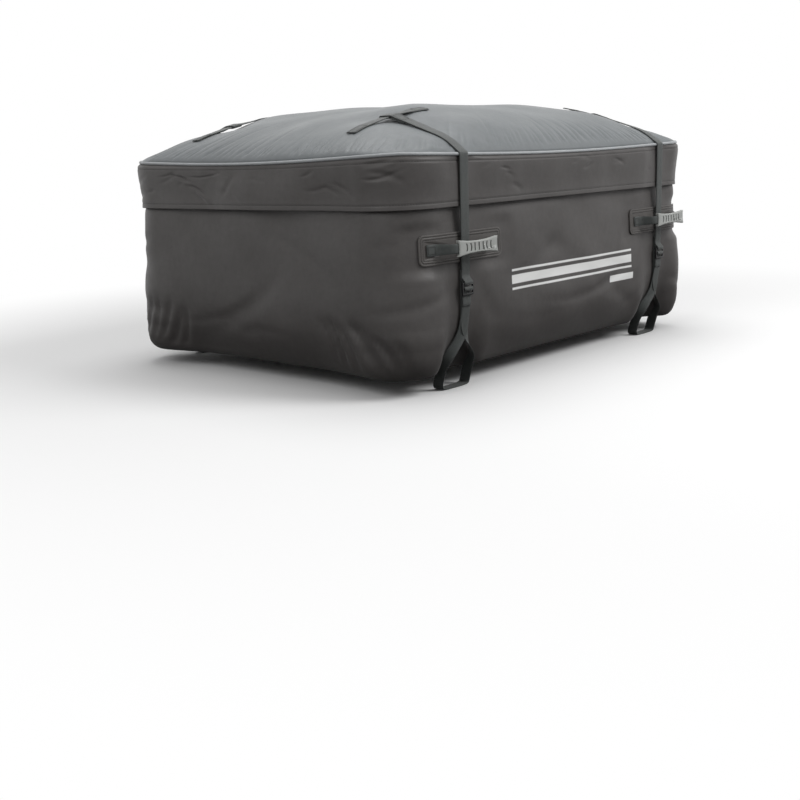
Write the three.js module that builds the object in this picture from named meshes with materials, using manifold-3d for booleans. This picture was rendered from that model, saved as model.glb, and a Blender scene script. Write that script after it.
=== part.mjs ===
import * as THREE from 'three';
import { mergeVertices } from 'three/addons/utils/BufferGeometryUtils.js';
import Module from 'manifold-3d';

const wasm = await Module();
wasm.setup();

// Roof cargo bag, millimetres. +X to the left of the car, +Y to its rear, +Z up, base at z 0

// Bag body
const bagWidth = 846;
const bagLength = 1080;
const cornerRadius = 106;
const rimHeight = 425;
const rimSag = 10;
const domeRise = 104;
const domeSquareness = { across: 3.7, along: 3.24 };
const domeFullness = 0.8;
const strapDent = 14;
const strapDentWidth = 48;
const gatherDepth = 4;
const cloth = 3;
const seam = 0.3;
const halfX = bagWidth / 2;
const halfY = bagLength / 2;

// Wall of the tub: distance out from the nominal outline at each height
const patchTopLevel = 282;
const patchFootLevel = 212;
const lockFootLevel = 140;
const tubTop = 346.7;
const tubWall = [
  [-74, 0],
  [-59, 5],
  [-48, 16],
  [-40, 35],
  [-34, 60],
  [-26, 100],
  [-19, lockFootLevel],
  [-9, patchFootLevel],
  [-6.2, patchTopLevel],
  [-9, 324],
  [-14.5, tubTop],
];

// Lid band, zip and storm flap
const bandTop = 421.7;
const bandFoot = 377;
const zipLine = 362;
const coilHeight = 3.1;
const coilSlit = 1.2;
const coilDepth = 3;
const tapeDepth = 1.5;
const zipInset = 16;
const pipingRadius = 3.5;
const flapFoot = 324;
const flapCloth = 2.5;
const flapMiddle = 375;
const flapSwell = 1.6;
const flapLift = 1.5;

// Zip sliders and pull tabs
const sliderLength = 16;
const sliderHeight = 12;
const sliderPlate = 1.5;
const sliderRest = 9.5;
const bridgeStand = 2.6;
const bridgeRadius = 1;
const tabLength = 22;
const tabWidth = 9;
const tabThickness = 1.6;

// Webbing, handles and grips
const webWidth = 25;
const webThickness = 2;
const lay = seam + webThickness / 2;
const frontRowInset = 182;
const rearRowInset = 162;
const strapRows = { front: frontRowInset - halfY, rear: halfY - rearRowInset };
const topHandleX = 241;
const topHandleLength = 218;
const topHandleRise = 9;
const loopSewn = 52;
const looseness = 0.3;
const patchLength = 242;
const patchHeight = 58;
const patchCloth = 2.5;
const patchCentre = 247;
const handleReach = 104;
const handleStand = 38;
const gripLength = 119;
const gripEndHeight = 31;
const gripMidHeight = 24;
const gripThickness = 9;
const gripWebWidth = 18;
const slotWidth = 3.4;
const slotHeight = 15;
const slotPitch = 12.5;
const slotCount = 7;

// Ladder-locks
const lockCentre = 166;
const lockWidth = 33;
const lockHeight = 26;
const lockBar = 4;
const lockSlotWidth = 27.4;
const lockStand = 10;

// Loops that the lower straps make for the roof bars
const barWidth = 80;
const barDepth = 30;
const loopX = 384;
const loopRoom = 0.5;

// Plan outline of the bag as points with their outward directions
function planRing(longSteps, shortSteps, cornerSteps) {
  const ring = [];
  const cx = halfX - cornerRadius;
  const cy = halfY - cornerRadius;
  const corners = [[cx, -cy, -90], [cx, cy, 0], [-cx, cy, 90], [-cx, -cy, 180]];
  for (let c = 0; c < 4; c++) {
    const [ox, oy, start] = corners[c];
    for (let k = 0; k <= cornerSteps; k++) {
      const angle = THREE.MathUtils.degToRad(start + (90 * k) / cornerSteps);
      const nx = Math.cos(angle);
      const ny = Math.sin(angle);
      ring.push({ x: ox + cornerRadius * nx, y: oy + cornerRadius * ny, nx, ny });
    }
    const from = ring[ring.length - 1];
    const next = corners[(c + 1) % 4];
    const steps = c % 2 === 0 ? longSteps : shortSteps;
    const toX = next[0] + cornerRadius * from.nx;
    const toY = next[1] + cornerRadius * from.ny;
    for (let k = 1; k < steps; k++) {
      const f = k / steps;
      ring.push({
        x: THREE.MathUtils.lerp(from.x, toX, f),
        y: THREE.MathUtils.lerp(from.y, toY, f),
        nx: from.nx,
        ny: from.ny,
      });
    }
  }
  return ring;
}

const longSteps = 6;
const shortSteps = 4;
const cornerSteps = 6;
const ring = planRing(longSteps, shortSteps, cornerSteps);
const hingeStart = ring.length - (shortSteps - 1) - 1;
const rearStart = 2 * cornerSteps + longSteps;
const rearEnd = rearStart + shortSteps;
const zipLineRing = ring.slice(0, hingeStart + 1);
const rearLine = ring.slice(rearStart, rearEnd + 1).map((point) => {
  const reach = halfX - cornerRadius - seam;
  return { ...point, x: THREE.MathUtils.clamp(point.x, -reach, reach) };
});
const restLine = [...ring.slice(rearEnd), ...ring.slice(0, rearStart + 1)];

// The rim hangs lower between the corners than at them
function rimDrop(x, y) {
  const u = Math.min(1, Math.abs(x) / halfX);
  const v = Math.min(1, Math.abs(y) / halfY);
  const along = Math.min(u, v) / Math.max(u, v, 1e-6);
  return rimSag * (1 - along * along);
}

function place(point, out, z) {
  const share = THREE.MathUtils.clamp((z - bandFoot) / (rimHeight - bandFoot), 0, 1);
  return new THREE.Vector3(
    point.x + point.nx * out,
    point.y + point.ny * out,
    z - rimDrop(point.x, point.y) * share,
  );
}

// Closed solids from rows of points
function solid(points, faces) {
  const geometry = new THREE.BufferGeometry();
  const flat = points.flatMap((p) => [p.x, p.y, p.z]);
  geometry.setAttribute('position', new THREE.Float32BufferAttribute(flat, 3));
  geometry.setIndex(faces);
  return geometry;
}

function loft(rows, closedRing, closedRows) {
  const count = rows[0].length;
  const points = rows.flat();
  const faces = [];
  const rowSteps = closedRows ? rows.length : rows.length - 1;
  const ringSteps = closedRing ? count : count - 1;
  for (let r = 0; r < rowSteps; r++) {
    for (let i = 0; i < ringSteps; i++) {
      const a = r * count + i;
      const b = r * count + ((i + 1) % count);
      const c = ((r + 1) % rows.length) * count + ((i + 1) % count);
      const d = ((r + 1) % rows.length) * count + i;
      faces.push(a, b, c, a, c, d);
    }
  }
  return { points, faces, count };
}

// Rings of the plan outline joined into a shell that closes over its middle on both sides
function cappedShell(rows) {
  const { points, faces, count } = loft(rows, true, false);
  for (const [row, flip] of [[0, true], [rows.length - 1, false]]) {
    const middle = new THREE.Vector3();
    rows[row].forEach((p) => middle.add(p));
    middle.divideScalar(count);
    middle.z = rows[row].centreZ ?? middle.z;
    const hub = points.push(middle) - 1;
    for (let i = 0; i < count; i++) {
      const a = row * count + i;
      const b = row * count + ((i + 1) % count);
      faces.push(hub, flip ? b : a, flip ? a : b);
    }
  }
  return solid(points, faces);
}

// A closed section carried round the outline, or along some of its points
function band(profile, line = ring) {
  const whole = line === ring;
  const rows = profile.map(([out, z]) => line.map((point) => place(point, out, z)));
  const { points, faces, count } = loft(rows, whole, true);
  if (!whole) {
    const section = profile.map(([out, z]) => new THREE.Vector2(out, z));
    const sense = THREE.ShapeUtils.isClockWise(section);
    for (const [a, b, c] of THREE.ShapeUtils.triangulateShape(section, [])) {
      const turn = THREE.ShapeUtils.isClockWise([section[a], section[b], section[c]]);
      const [p, q] = turn === sense ? [b, c] : [c, b];
      faces.push(a * count, p * count, q * count);
      faces.push(a * count + count - 1, q * count + count - 1, p * count + count - 1);
    }
  }
  return outward(solid(points, faces));
}

// Turns a closed solid so that its faces look out
function outward(geometry) {
  const at = geometry.attributes.position;
  const index = geometry.index.array;
  const [a, b, c] = [new THREE.Vector3(), new THREE.Vector3(), new THREE.Vector3()];
  let volume = 0;
  for (let i = 0; i < index.length; i += 3) {
    a.fromBufferAttribute(at, index[i]);
    b.fromBufferAttribute(at, index[i + 1]);
    c.fromBufferAttribute(at, index[i + 2]);
    volume += a.dot(b.cross(c));
  }
  if (volume < 0) {
    for (let i = 0; i < index.length; i += 3) {
      [index[i + 1], index[i + 2]] = [index[i + 2], index[i + 1]];
    }
  }
  return geometry;
}

// Webbing: a flat section carried along stations, each with its own width direction
function ribbon(stations, thickness = webThickness) {
  const rows = stations.map((station, i) => {
    const before = stations[Math.max(0, i - 1)].at;
    const after = stations[Math.min(stations.length - 1, i + 1)].at;
    const into = station.at.clone().sub(before);
    const out = after.clone().sub(station.at);
    if (i === 0) into.copy(out);
    if (i === stations.length - 1) out.copy(into);
    const side = station.side.clone().normalize();
    const n1 = into.cross(side).normalize();
    const n2 = out.cross(side).normalize();
    const normal = n1.clone().add(n2).normalize();
    const reach = thickness / 2 / Math.max(0.6, normal.dot(n1));
    const half = (station.width ?? webWidth) / 2;
    const corner = (s, t) => station.at.clone().addScaledVector(side, s * half)
      .addScaledVector(normal, t * reach);
    return [corner(1, 1), corner(-1, 1), corner(-1, -1), corner(1, -1)];
  });
  const { points, faces } = loft(rows, true, false);
  const end = (rows.length - 1) * 4;
  faces.push(0, 2, 1, 0, 3, 2, end, end + 1, end + 2, end, end + 2, end + 3);
  return outward(solid(points, faces));
}

// Booleans
function toManifold(geometry) {
  const bare = geometry.clone();
  bare.deleteAttribute('normal');
  bare.deleteAttribute('uv');
  const merged = mergeVertices(bare, 1e-4);
  return new wasm.Manifold(new wasm.Mesh({
    numProp: 3,
    vertProperties: Float32Array.from(merged.attributes.position.array),
    triVerts: Uint32Array.from(merged.index.array),
  }));
}

function fromManifold(body) {
  const mesh = body.getMesh();
  const geometry = new THREE.BufferGeometry();
  geometry.setAttribute('position', new THREE.BufferAttribute(mesh.vertProperties, 3));
  geometry.setIndex(new THREE.BufferAttribute(mesh.triVerts, 1));
  return geometry;
}

function block(width, depth, height, x = 0, y = 0, z = 0) {
  return new THREE.BoxGeometry(width, depth, height).translate(x, y, z);
}

function roundedShape(width, height, radius) {
  const shape = new THREE.Shape();
  const w = width / 2 - radius;
  const h = height / 2 - radius;
  shape.absarc(w, h, radius, 0, Math.PI / 2);
  shape.absarc(-w, h, radius, Math.PI / 2, Math.PI);
  shape.absarc(-w, -h, radius, Math.PI, Math.PI * 1.5);
  shape.absarc(w, -h, radius, Math.PI * 1.5, Math.PI * 2);
  return shape;
}

function plate(shape, depth, start, segments = 3) {
  const options = { depth, bevelEnabled: false, curveSegments: segments };
  return new THREE.ExtrudeGeometry(shape, options).translate(0, 0, start);
}

// Places on the left wall: along the car, up the wall and out from it
function wallOut(z) {
  for (let i = 1; i < tubWall.length; i++) {
    const [o0, z0] = tubWall[i - 1];
    const [o1, z1] = tubWall[i];
    if (z <= z1) return THREE.MathUtils.mapLinear(z, z0, z1, o0, o1);
  }
  return tubWall[tubWall.length - 1][0];
}

function wallFrame(z, y) {
  const up = new THREE.Vector3(wallOut(z + 1) - wallOut(z - 1), 0, 2).normalize();
  const along = new THREE.Vector3(0, 1, 0);
  const out = along.clone().cross(up);
  const frame = new THREE.Matrix4().makeBasis(along, up, out);
  return frame.setPosition(halfX + wallOut(z), y, z);
}

function onWall(frame, along, up, out) {
  return new THREE.Vector3(along, up, out).applyMatrix4(frame);
}

// Tub: soft folds sink into its corners and ends, clear of straps and handles
function tubFold(point, z) {
  const corner = Math.abs(point.nx * point.ny) * 2;
  const end = Math.abs(point.ny) > 0.99 ? Math.cos((Math.PI * point.x) / bagWidth) : 0;
  const low = Math.sin(Math.PI * THREE.MathUtils.clamp((z - 5) / 200, 0, 1));
  const slant = Math.sin(z / 24 + (point.x + point.y) / 60);
  return -low * (corner * (4 + 3 * slant) + end * (2.5 + 2 * slant));
}

function tubRow(out, z) {
  const fold = z > 0 ? 1 : 0;
  return ring.map((p) => place(p, out + fold * tubFold(p, z), z));
}

const tubOuter = tubWall.map(([out, z]) => tubRow(out, z));
const tubInner = tubWall.filter((level, i) => i % 4 === 2)
  .map(([out, z]) => tubRow(out - cloth, z)).reverse();
const baseEdge = tubWall[0][0] - cloth;
const tubFoot = [cloth, 0].map((z) => ring.map((p) => place(p, baseEdge, z)));
const tubShell = loft([...tubOuter, ...tubInner, ...tubFoot], true, true);
const tub = outward(solid(tubShell.points, tubShell.faces));
const basePanel = cappedShell([0, cloth].map((z) => ring.map((p) => place(p, baseEdge - seam, z))));

// Lid: a full dome, gathered where it is sewn to the rim
function domeHeight(x, y) {
  const u = 1 - Math.min(1, Math.abs(x) / halfX) ** domeSquareness.across;
  const v = 1 - Math.min(1, Math.abs(y) / halfY) ** domeSquareness.along;
  return domeRise * (u * v) ** domeFullness - dent(x, y);
}

// The taut straps press a hollow into the lid below the top handles
function dent(x, y) {
  const out = Math.abs(x);
  const from = THREE.MathUtils.smoothstep(out, topHandleX - 110, topHandleX);
  const to = 1 - THREE.MathUtils.smoothstep(out, topHandleX, halfX);
  const rows = Object.values(strapRows).map((row) => Math.exp(-(((y - row) / strapDentWidth) ** 2)));
  return strapDent * from * to * Math.max(...rows);
}

const lidEdge = -(pipingRadius - 0.5) - seam;
const lidRing = ring.flatMap((p, i) => {
  const q = ring[(i + 1) % ring.length];
  const middle = { nx: (p.nx + q.nx) / 2, ny: (p.ny + q.ny) / 2 };
  return [p, { x: (p.x + q.x) / 2, y: (p.y + q.y) / 2, ...middle }];
});

function lidRow(share, drop) {
  const row = lidRing.map((p, i) => {
    const x = (p.x + p.nx * lidEdge) * share;
    const y = (p.y + p.ny * lidEdge) * share;
    const start = domeHeight(p.x, p.y) * share ** 8;
    const near = THREE.MathUtils.clamp((share - 0.78) / 0.15, 0, 1) * (share < 1 ? 1 : 0);
    const pucker = i % 2 ? gatherDepth * near * (0.55 + 0.45 * Math.sin(i * 2.3)) : 0;
    const sag = rimDrop(p.x, p.y) * share;
    return new THREE.Vector3(x, y, rimHeight - sag + domeHeight(x, y) - start - pucker - drop);
  });
  row.centreZ = rimHeight + domeRise - drop;
  return row;
}

const lidOuter = [0.25, 0.5, 0.68, 0.8, 0.88, 0.94, 0.98, 1];
const lidInner = [1, 0.9, 0.7];
const lidPanel = outward(cappedShell([
  ...lidOuter.map((share) => lidRow(share, 0)),
  ...lidInner.map((share) => lidRow(share, share < 1 ? cloth + gatherDepth * 0.4 : cloth)),
]));

// Sewn-in bands at the rim and round the zip
const bandOuter = -(flapCloth + seam);
const lidBand = band([
  [bandOuter, bandTop],
  [-zipInset + tapeDepth, bandFoot],
  [-zipInset + tapeDepth - cloth, bandFoot],
  [bandOuter - cloth + 0.3, bandTop],
]);
const flapSection = [
  [0, rimHeight - pipingRadius - seam],
  [flapSwell, flapMiddle],
  [flapLift, flapFoot],
  [flapLift - flapCloth, flapFoot],
  [flapSwell - flapCloth, flapMiddle],
  [-flapCloth, rimHeight - pipingRadius - seam],
];
const bead = [];
for (let k = 0; k < 6; k++) {
  const angle = (Math.PI * k) / 3 + Math.PI / 6;
  bead.push([0.5 + pipingRadius * Math.cos(angle), rimHeight + pipingRadius * Math.sin(angle)]);
}
const piping = band(bead);

function zipStrip(depth, foot, top) {
  const middle = -zipInset;
  return [
    [middle + depth / 2, foot],
    [middle + depth / 2, top],
    [middle - depth / 2, top],
    [middle - depth / 2, foot],
  ];
}

const coilTop = zipLine + coilSlit / 2 + coilHeight;
const coilFoot = zipLine - coilSlit / 2 - coilHeight;
const strips = {
  zip_tape_upper: zipStrip(tapeDepth, coilTop + seam, bandFoot - seam),
  zip_coil_upper: zipStrip(coilDepth, zipLine + coilSlit / 2, coilTop),
  zip_coil_lower: zipStrip(coilDepth, coilFoot, zipLine - coilSlit / 2),
  zip_tape_lower: zipStrip(tapeDepth, tubTop + seam, coilFoot - seam),
};
const hingeStrip = block(
  bagWidth - 2 * cornerRadius - 2 * seam,
  tapeDepth,
  bandFoot - tubTop - 2 * seam,
  0,
  -halfY + zipInset,
  (bandFoot + tubTop) / 2,
);

// Zip slider at the rear: two plates joined by a thin web that runs in the slit between the coils
const zipY = halfY - zipInset;
const plateGap = coilDepth / 2 + seam;
const bridgeY = zipY + plateGap + sliderPlate + bridgeStand;
function slider(x) {
  const front = zipY + plateGap + sliderPlate / 2;
  const back = zipY - plateGap - sliderPlate / 2;
  const bridge = new THREE.CylinderGeometry(bridgeRadius, bridgeRadius, sliderLength - 2, 10);
  bridge.rotateZ(Math.PI / 2).translate(x, bridgeY, zipLine);
  let body = toManifold(block(sliderLength, sliderPlate, sliderHeight, x, front, zipLine));
  body = body.add(toManifold(block(sliderLength, sliderPlate, sliderHeight, x, back, zipLine)));
  body = body.add(toManifold(block(5, 2 * plateGap + sliderPlate, 0.6, x, zipY, zipLine)));
  for (const side of [-1, 1]) {
    const post = block(2, bridgeStand + 2, 3, x + side * (sliderLength / 2 - 2), bridgeY - 1.3, zipLine);
    body = body.add(toManifold(post));
  }
  return fromManifold(body.add(toManifold(bridge)));
}

// Pull tab: hangs by its eye from the bridge
function pullTab(x) {
  const eye = new THREE.CylinderGeometry(2, 2, tabWidth, 10).rotateZ(Math.PI / 2);
  const hole = new THREE.CylinderGeometry(1.3, 1.3, tabWidth + 2, 10).rotateZ(Math.PI / 2);
  const leaf = block(tabWidth, tabThickness, tabLength - 1.6, 0, 0, -tabLength / 2 - 0.8);
  const grip = plate(roundedShape(tabWidth + 2, 9, 2), tabThickness + 0.6, -tabThickness / 2 - 0.3);
  grip.rotateX(Math.PI / 2).translate(0, 0, -tabLength + 3.5);
  let body = toManifold(eye).add(toManifold(leaf)).subtract(toManifold(hole));
  body = body.add(toManifold(grip));
  return fromManifold(body).translate(x, bridgeY, zipLine);
}

// Heights of the lid below a piece of webbing
const lidBody = new THREE.Mesh(lidPanel, new THREE.MeshBasicMaterial({ side: THREE.DoubleSide }));
function lidTop(x, y, sense) {
  const down = new THREE.Vector3(0, 0, -1);
  const ray = new THREE.Raycaster(new THREE.Vector3(sense * x, y, 2 * rimHeight), down);
  const hit = ray.intersectObject(lidBody)[0];
  return hit ? hit.point.z : rimHeight;
}

// A taut line round the outside of points, the way a strap lies, then moved out by a distance
function tautLine(points, away) {
  const line = [points[0]];
  let at = 0;
  while (at < points.length - 1) {
    let best = at + 1;
    for (let k = at + 2; k < points.length; k++) {
      const to = points[best].clone().sub(points[at]);
      const other = points[k].clone().sub(points[at]);
      if (to.cross(other) >= 0) best = k;
    }
    line.push(points[best]);
    at = best;
  }
  return moveOut(line, away);
}

function subdivide(line, longest) {
  return line.flatMap((p, i) => {
    const next = line[i + 1];
    const parts = next ? Math.ceil(p.distanceTo(next) / longest) : 1;
    return Array.from({ length: parts }, (_, k) => (k ? p.clone().lerp(next, k / parts) : p));
  });
}

function moveOut(line, away) {
  return line.map((p, i) => {
    const before = p.clone().sub(line[Math.max(0, i - 1)]).normalize();
    const after = line[Math.min(line.length - 1, i + 1)].clone().sub(p).normalize();
    if (i === 0) before.copy(after);
    if (i === line.length - 1) after.copy(before);
    const n1 = new THREE.Vector2(-before.y, before.x);
    const n2 = new THREE.Vector2(-after.y, after.x);
    const n = n1.clone().add(n2).normalize();
    return p.clone().addScaledVector(n, away / n.dot(n1));
  });
}

// How a piece of webbing that crosses (x, y) lies on the lid: its middle's height and its slope
const widthSteps = [-0.52, -0.4, -0.27, -0.13, 0, 0.13, 0.27, 0.4, 0.52];
function seat(x, y, dx, dy, sense) {
  const at = (f) => [x + f * webWidth * dx, y + f * webWidth * dy];
  const bare = (f) => domeHeight(...at(f)) - rimDrop(...at(f));
  const slope = bare(0.5) - bare(-0.5);
  const heights = widthSteps.map((f) => lidTop(...at(f), sense) - slope * f);
  return { height: Math.max(...heights), slope };
}

// Top handle: webbing sewn down at both ends and lifted in the middle by the strap
function handleLine(row, sense) {
  const half = topHandleLength / 2;
  const points = [];
  for (let k = 0; k <= 48; k++) {
    const y = row + half * (k / 24 - 1);
    const { height, slope } = seat(topHandleX, y, 1, 0, sense);
    const lift = (Math.abs(slope) / 2) * levelled(y - row) + (k === 24 ? topHandleRise : 0);
    points.push(new THREE.Vector2(y, height + lift));
  }
  return subdivide(tautLine(points, lay + looseness), 24);
}

function levelled(away) {
  return 1 - THREE.MathUtils.smoothstep(Math.abs(away), webWidth, 0.35 * topHandleLength);
}

function topHandle(row, sense) {
  return ribbon(handleLine(row, sense).map((p) => {
    const tilt = seat(topHandleX, p.x, 1, 0, sense).slope * (1 - levelled(p.x - row));
    return {
      at: new THREE.Vector3(topHandleX, p.x, p.y),
      side: new THREE.Vector3(webWidth, 0, tilt),
    };
  }));
}

// Where the strap crosses the top handle: its slope, and its highest and lowest lie on that slope
function crossing(row, sense) {
  const line = handleLine(row, sense);
  const heightAt = (y) => {
    const k = line.findIndex((p) => p.x >= y);
    const [p, q] = [line[k - 1], line[k]];
    return THREE.MathUtils.mapLinear(y, p.x, q.x, p.y, q.y);
  };
  const reach = webWidth / 2;
  const slope = heightAt(row + reach) - heightAt(row - reach);
  const lies = widthSteps.map((f) => heightAt(row + f * webWidth) - slope * f);
  return { slope, high: Math.max(...lies), low: Math.min(...lies) };
}

// Layers of webbing at a ladder-lock, as distances out from the wall
const fixedLay = lay;
const returnLay = fixedLay + webThickness + seam;
const mainLay = returnLay + webThickness + seam;
const barReach = lockBar / 2 + lay;
const barUp = (lockHeight - lockBar) / 2;
const tailLay = lockStand - barReach;
const loadLay = tailLay - webThickness - seam;

function flatPoints(frame, row, steps) {
  return steps.map(([up, out]) => {
    const p = onWall(frame, 0, up, out);
    return { at: p, side: new THREE.Vector3(0, 1, 0) };
  });
}

// Upper strap: sewn loop on the top handle, over the lid, rim and flap, to the ladder-lock
function upperStrap(row, sense) {
  const lock = wallFrame(lockCentre, row);
  const cross = crossing(row, sense);
  const inner = topHandleX - webWidth / 2;
  const outerEdge = topHandleX + webWidth / 2;
  const sewnTo = topHandleX + loopSewn;
  const webTop = cross.high + webThickness / 2;
  const points = [new THREE.Vector2(inner, webTop), new THREE.Vector2(outerEdge, webTop)];
  const edge = halfX + lidEdge - 0.01;
  for (let k = 1; k <= 40; k++) {
    const x = THREE.MathUtils.lerp(outerEdge, edge, k / 40);
    const room = x < sewnTo ? webThickness + 2 * seam : 0;
    points.push(new THREE.Vector2(x, seat(x, row, 0, 1, sense).height + looseness + room));
  }
  for (const [out, z] of bead.filter(([out]) => out > 0).reverse()) {
    points.push(new THREE.Vector2(halfX + out, z - rimDrop(halfX, row) + looseness));
  }
  points.push(new THREE.Vector2(halfX + flapSwell, flapMiddle));
  points.push(new THREE.Vector2(halfX + flapLift, flapFoot));
  const patch = wallFrame(patchCentre, row);
  for (const up of [patchHeight / 2, -patchHeight / 2]) {
    const p = onWall(patch, 0, up, seam + patchCloth);
    points.push(new THREE.Vector2(p.x, p.z));
  }
  const lead = onWall(lock, 0, 40, mainLay - lay);
  points.push(new THREE.Vector2(lead.x, lead.z));
  const outer = tautLine(points, lay);
  const stations = [];
  const slopeAt = (x) => {
    if (x <= outerEdge + 1) return cross.slope;
    return x < edge ? seat(x, row, 0, 1, sense).slope : 0;
  };
  const add = (x, z) => stations.push({
    at: new THREE.Vector3(x, row, z),
    side: new THREE.Vector3(0, webWidth, slopeAt(x)),
  });
  const [a, b] = [outer[1], outer[2]];
  const fall = b.clone().sub(a).normalize();
  const last = a.clone().addScaledVector(fall, (sewnTo - a.x) / fall.x);
  last.addScaledVector(new THREE.Vector2(fall.y, -fall.x), webThickness + seam);
  const under = cross.low - webThickness / 2 - lay;
  const middle = (webTop + lay + under) / 2;
  const wrap = middle - under;
  stations.push({
    at: new THREE.Vector3(last.x, row, last.y),
    side: new THREE.Vector3(0, webWidth, cross.slope),
  });
  add(outerEdge, under);
  add(inner, under);
  for (let k = 1; k < 4; k++) {
    const angle = -Math.PI / 2 - (Math.PI * k) / 4;
    add(inner + wrap * Math.cos(angle), middle + wrap * Math.sin(angle));
  }
  for (const p of outer) add(p.x, p.y);
  stations.push(...flatPoints(lock, row, [
    [22, mainLay],
    [barUp + 3, lockStand + barReach],
    [barUp - barReach, lockStand + barReach],
    [barUp - barReach, lockStand - barReach],
    [barUp + 3, lockStand - barReach],
    [23, returnLay],
    [38, returnLay],
  ]));
  return ribbon(stations);
}

// Lower strap: sewn end behind the lock, down with a quarter turn, round the roof bar and back
function lowerStrap(row) {
  const lock = wallFrame(lockCentre, row);
  const stations = flatPoints(lock, row, [
    [-34, tailLay],
    [-barReach, tailLay],
    [-barReach, lockStand + barReach],
    [barReach, lockStand + barReach],
    [barReach, loadLay],
    [-18, loadLay],
    [-34, loadLay],
  ]);
  const turns = [[100, 12], [80, 32], [60, 52], [42, 70], [24, 84], [8, 90]];
  const reach = barWidth / 2 + lay + loopRoom - seam;
  const leg = (sense) => turns.map(([z, turn]) => {
    const angle = THREE.MathUtils.degToRad(turn);
    const clear = wallOut(z) + (webWidth / 2) * Math.sin(angle) + 2.2;
    const x = Math.max(halfX + clear, loopX) + (sense < 0 ? 1.2 * Math.cos(angle) : 0);
    const y = row + sense * reach * Math.sin(angle) ** 1.5;
    const side = new THREE.Vector3(Math.sin(angle), -sense * Math.cos(angle), 0);
    return { at: new THREE.Vector3(x, y, z), side };
  });
  const across = new THREE.Vector3(1, 0, 0);
  const foot = -barDepth - lay - loopRoom + seam;
  const bend = 6;
  const loop = [[-reach, foot + bend], [-reach + bend * 0.3, foot + bend * 0.3], [-reach + bend, foot]];
  stations.push(...leg(-1));
  for (const [y, z] of loop) {
    stations.push({ at: new THREE.Vector3(loopX, row + y, z), side: across });
  }
  for (const [y, z] of loop.reverse()) {
    stations.push({ at: new THREE.Vector3(loopX, row - y, z), side: across });
  }
  stations.push(...leg(1).reverse());
  for (const up of [-34, 38]) {
    const p = onWall(lock, 0, up, fixedLay);
    stations.push({ at: p, side: new THREE.Vector3(0, -1, 0) });
  }
  return ribbon(stations);
}

// Ladder-lock: a frame of three bars
function ladderLock(row) {
  const shape = roundedShape(lockWidth, lockHeight, 2.5);
  for (const sense of [-1, 1]) {
    const slot = new THREE.Path();
    const high = (sense * barUp) / 2;
    const h = (barUp - lockBar) / 2;
    const w = lockSlotWidth / 2;
    slot.moveTo(-w, high - h).lineTo(w, high - h).lineTo(w, high + h).lineTo(-w, high + h);
    shape.holes.push(slot);
  }
  const body = plate(shape, lockBar, lockStand - lockBar / 2, 2);
  return body.applyMatrix4(wallFrame(lockCentre, row));
}

// Reinforcing patch on the wall below each side handle
function sidePatch(row) {
  const body = plate(roundedShape(patchLength, patchHeight, 12), patchCloth, seam);
  return body.applyMatrix4(wallFrame(patchCentre, row));
}

// Side handle webbing, narrower where it is folded inside the grip
function sideHandle(row) {
  const frame = wallFrame(patchCentre, row);
  const flat = seam + patchCloth + lay;
  const end = gripLength / 2;
  const half = [[-handleReach, flat], [-handleReach + 22, flat], [-end - 15, 14],
    [-end - 9, 31], [-end - 2, handleStand]];
  const path = [...half, ...half.map(([along, out]) => [-along, out]).reverse()];
  const up = onWall(frame, 0, 1, 0).sub(onWall(frame, 0, 0, 0));
  return ribbon(path.map(([along, out]) => ({
    at: onWall(frame, along, 0, out),
    side: up,
    width: out > handleStand - 8 ? gripWebWidth : webWidth,
  })));
}

// Moulded grip: waisted sleeve with flared ends and seven slots
function sideGrip(row) {
  const end = gripLength / 2;
  const high = gripEndHeight / 2;
  const waist = gripMidHeight - high;
  const shape = new THREE.Shape();
  shape.moveTo(-end, -high);
  shape.quadraticCurveTo(0, -waist + 2, end, -high);
  shape.quadraticCurveTo(end - 5, 0, end, high);
  shape.quadraticCurveTo(0, waist - 2, -end, high);
  shape.quadraticCurveTo(-end + 5, 0, -end, -high);
  const options = {
    depth: gripThickness - 3,
    bevelEnabled: true,
    bevelThickness: 1.5,
    bevelSize: 1.5,
    bevelOffset: -1.5,
    bevelSegments: 1,
    curveSegments: 4,
  };
  const skin = new THREE.ExtrudeGeometry(shape, options);
  skin.translate(0, 0, handleStand - gripThickness / 2 + 1.5);
  const channel = block(gripLength + 10, gripWebWidth + 1, webThickness + 2 * seam, 0, 0, handleStand);
  let body = toManifold(skin).subtract(toManifold(channel));
  for (let k = 0; k < slotCount; k++) {
    const step = k - (slotCount - 1) / 2;
    const bow = Math.abs(step) > 1.5 ? Math.sign(step) * -4 : 0;
    const x = step * slotPitch;
    const tall = slotHeight / 2;
    const slot = new THREE.Shape();
    slot.moveTo(x - slotWidth / 2, -tall);
    slot.lineTo(x + slotWidth / 2, -tall);
    slot.quadraticCurveTo(x + slotWidth / 2 + bow, 0, x + slotWidth / 2, tall);
    slot.lineTo(x - slotWidth / 2, tall);
    slot.quadraticCurveTo(x - slotWidth / 2 + bow, 0, x - slotWidth / 2, -tall);
    body = body.subtract(toManifold(plate(slot, gripThickness, handleStand, bow ? 4 : 1)));
  }
  return fromManifold(body).applyMatrix4(wallFrame(patchCentre, row));
}

// Right-hand copies are mirror images
function mirrored(geometry) {
  const copy = geometry.clone().scale(-1, 1, 1);
  if (!copy.index) return outward(mergeVertices(bareCopy(copy), 1e-4));
  return outward(copy);
}

function bareCopy(geometry) {
  const copy = geometry.clone();
  copy.deleteAttribute('normal');
  copy.deleteAttribute('uv');
  return copy;
}

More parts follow.
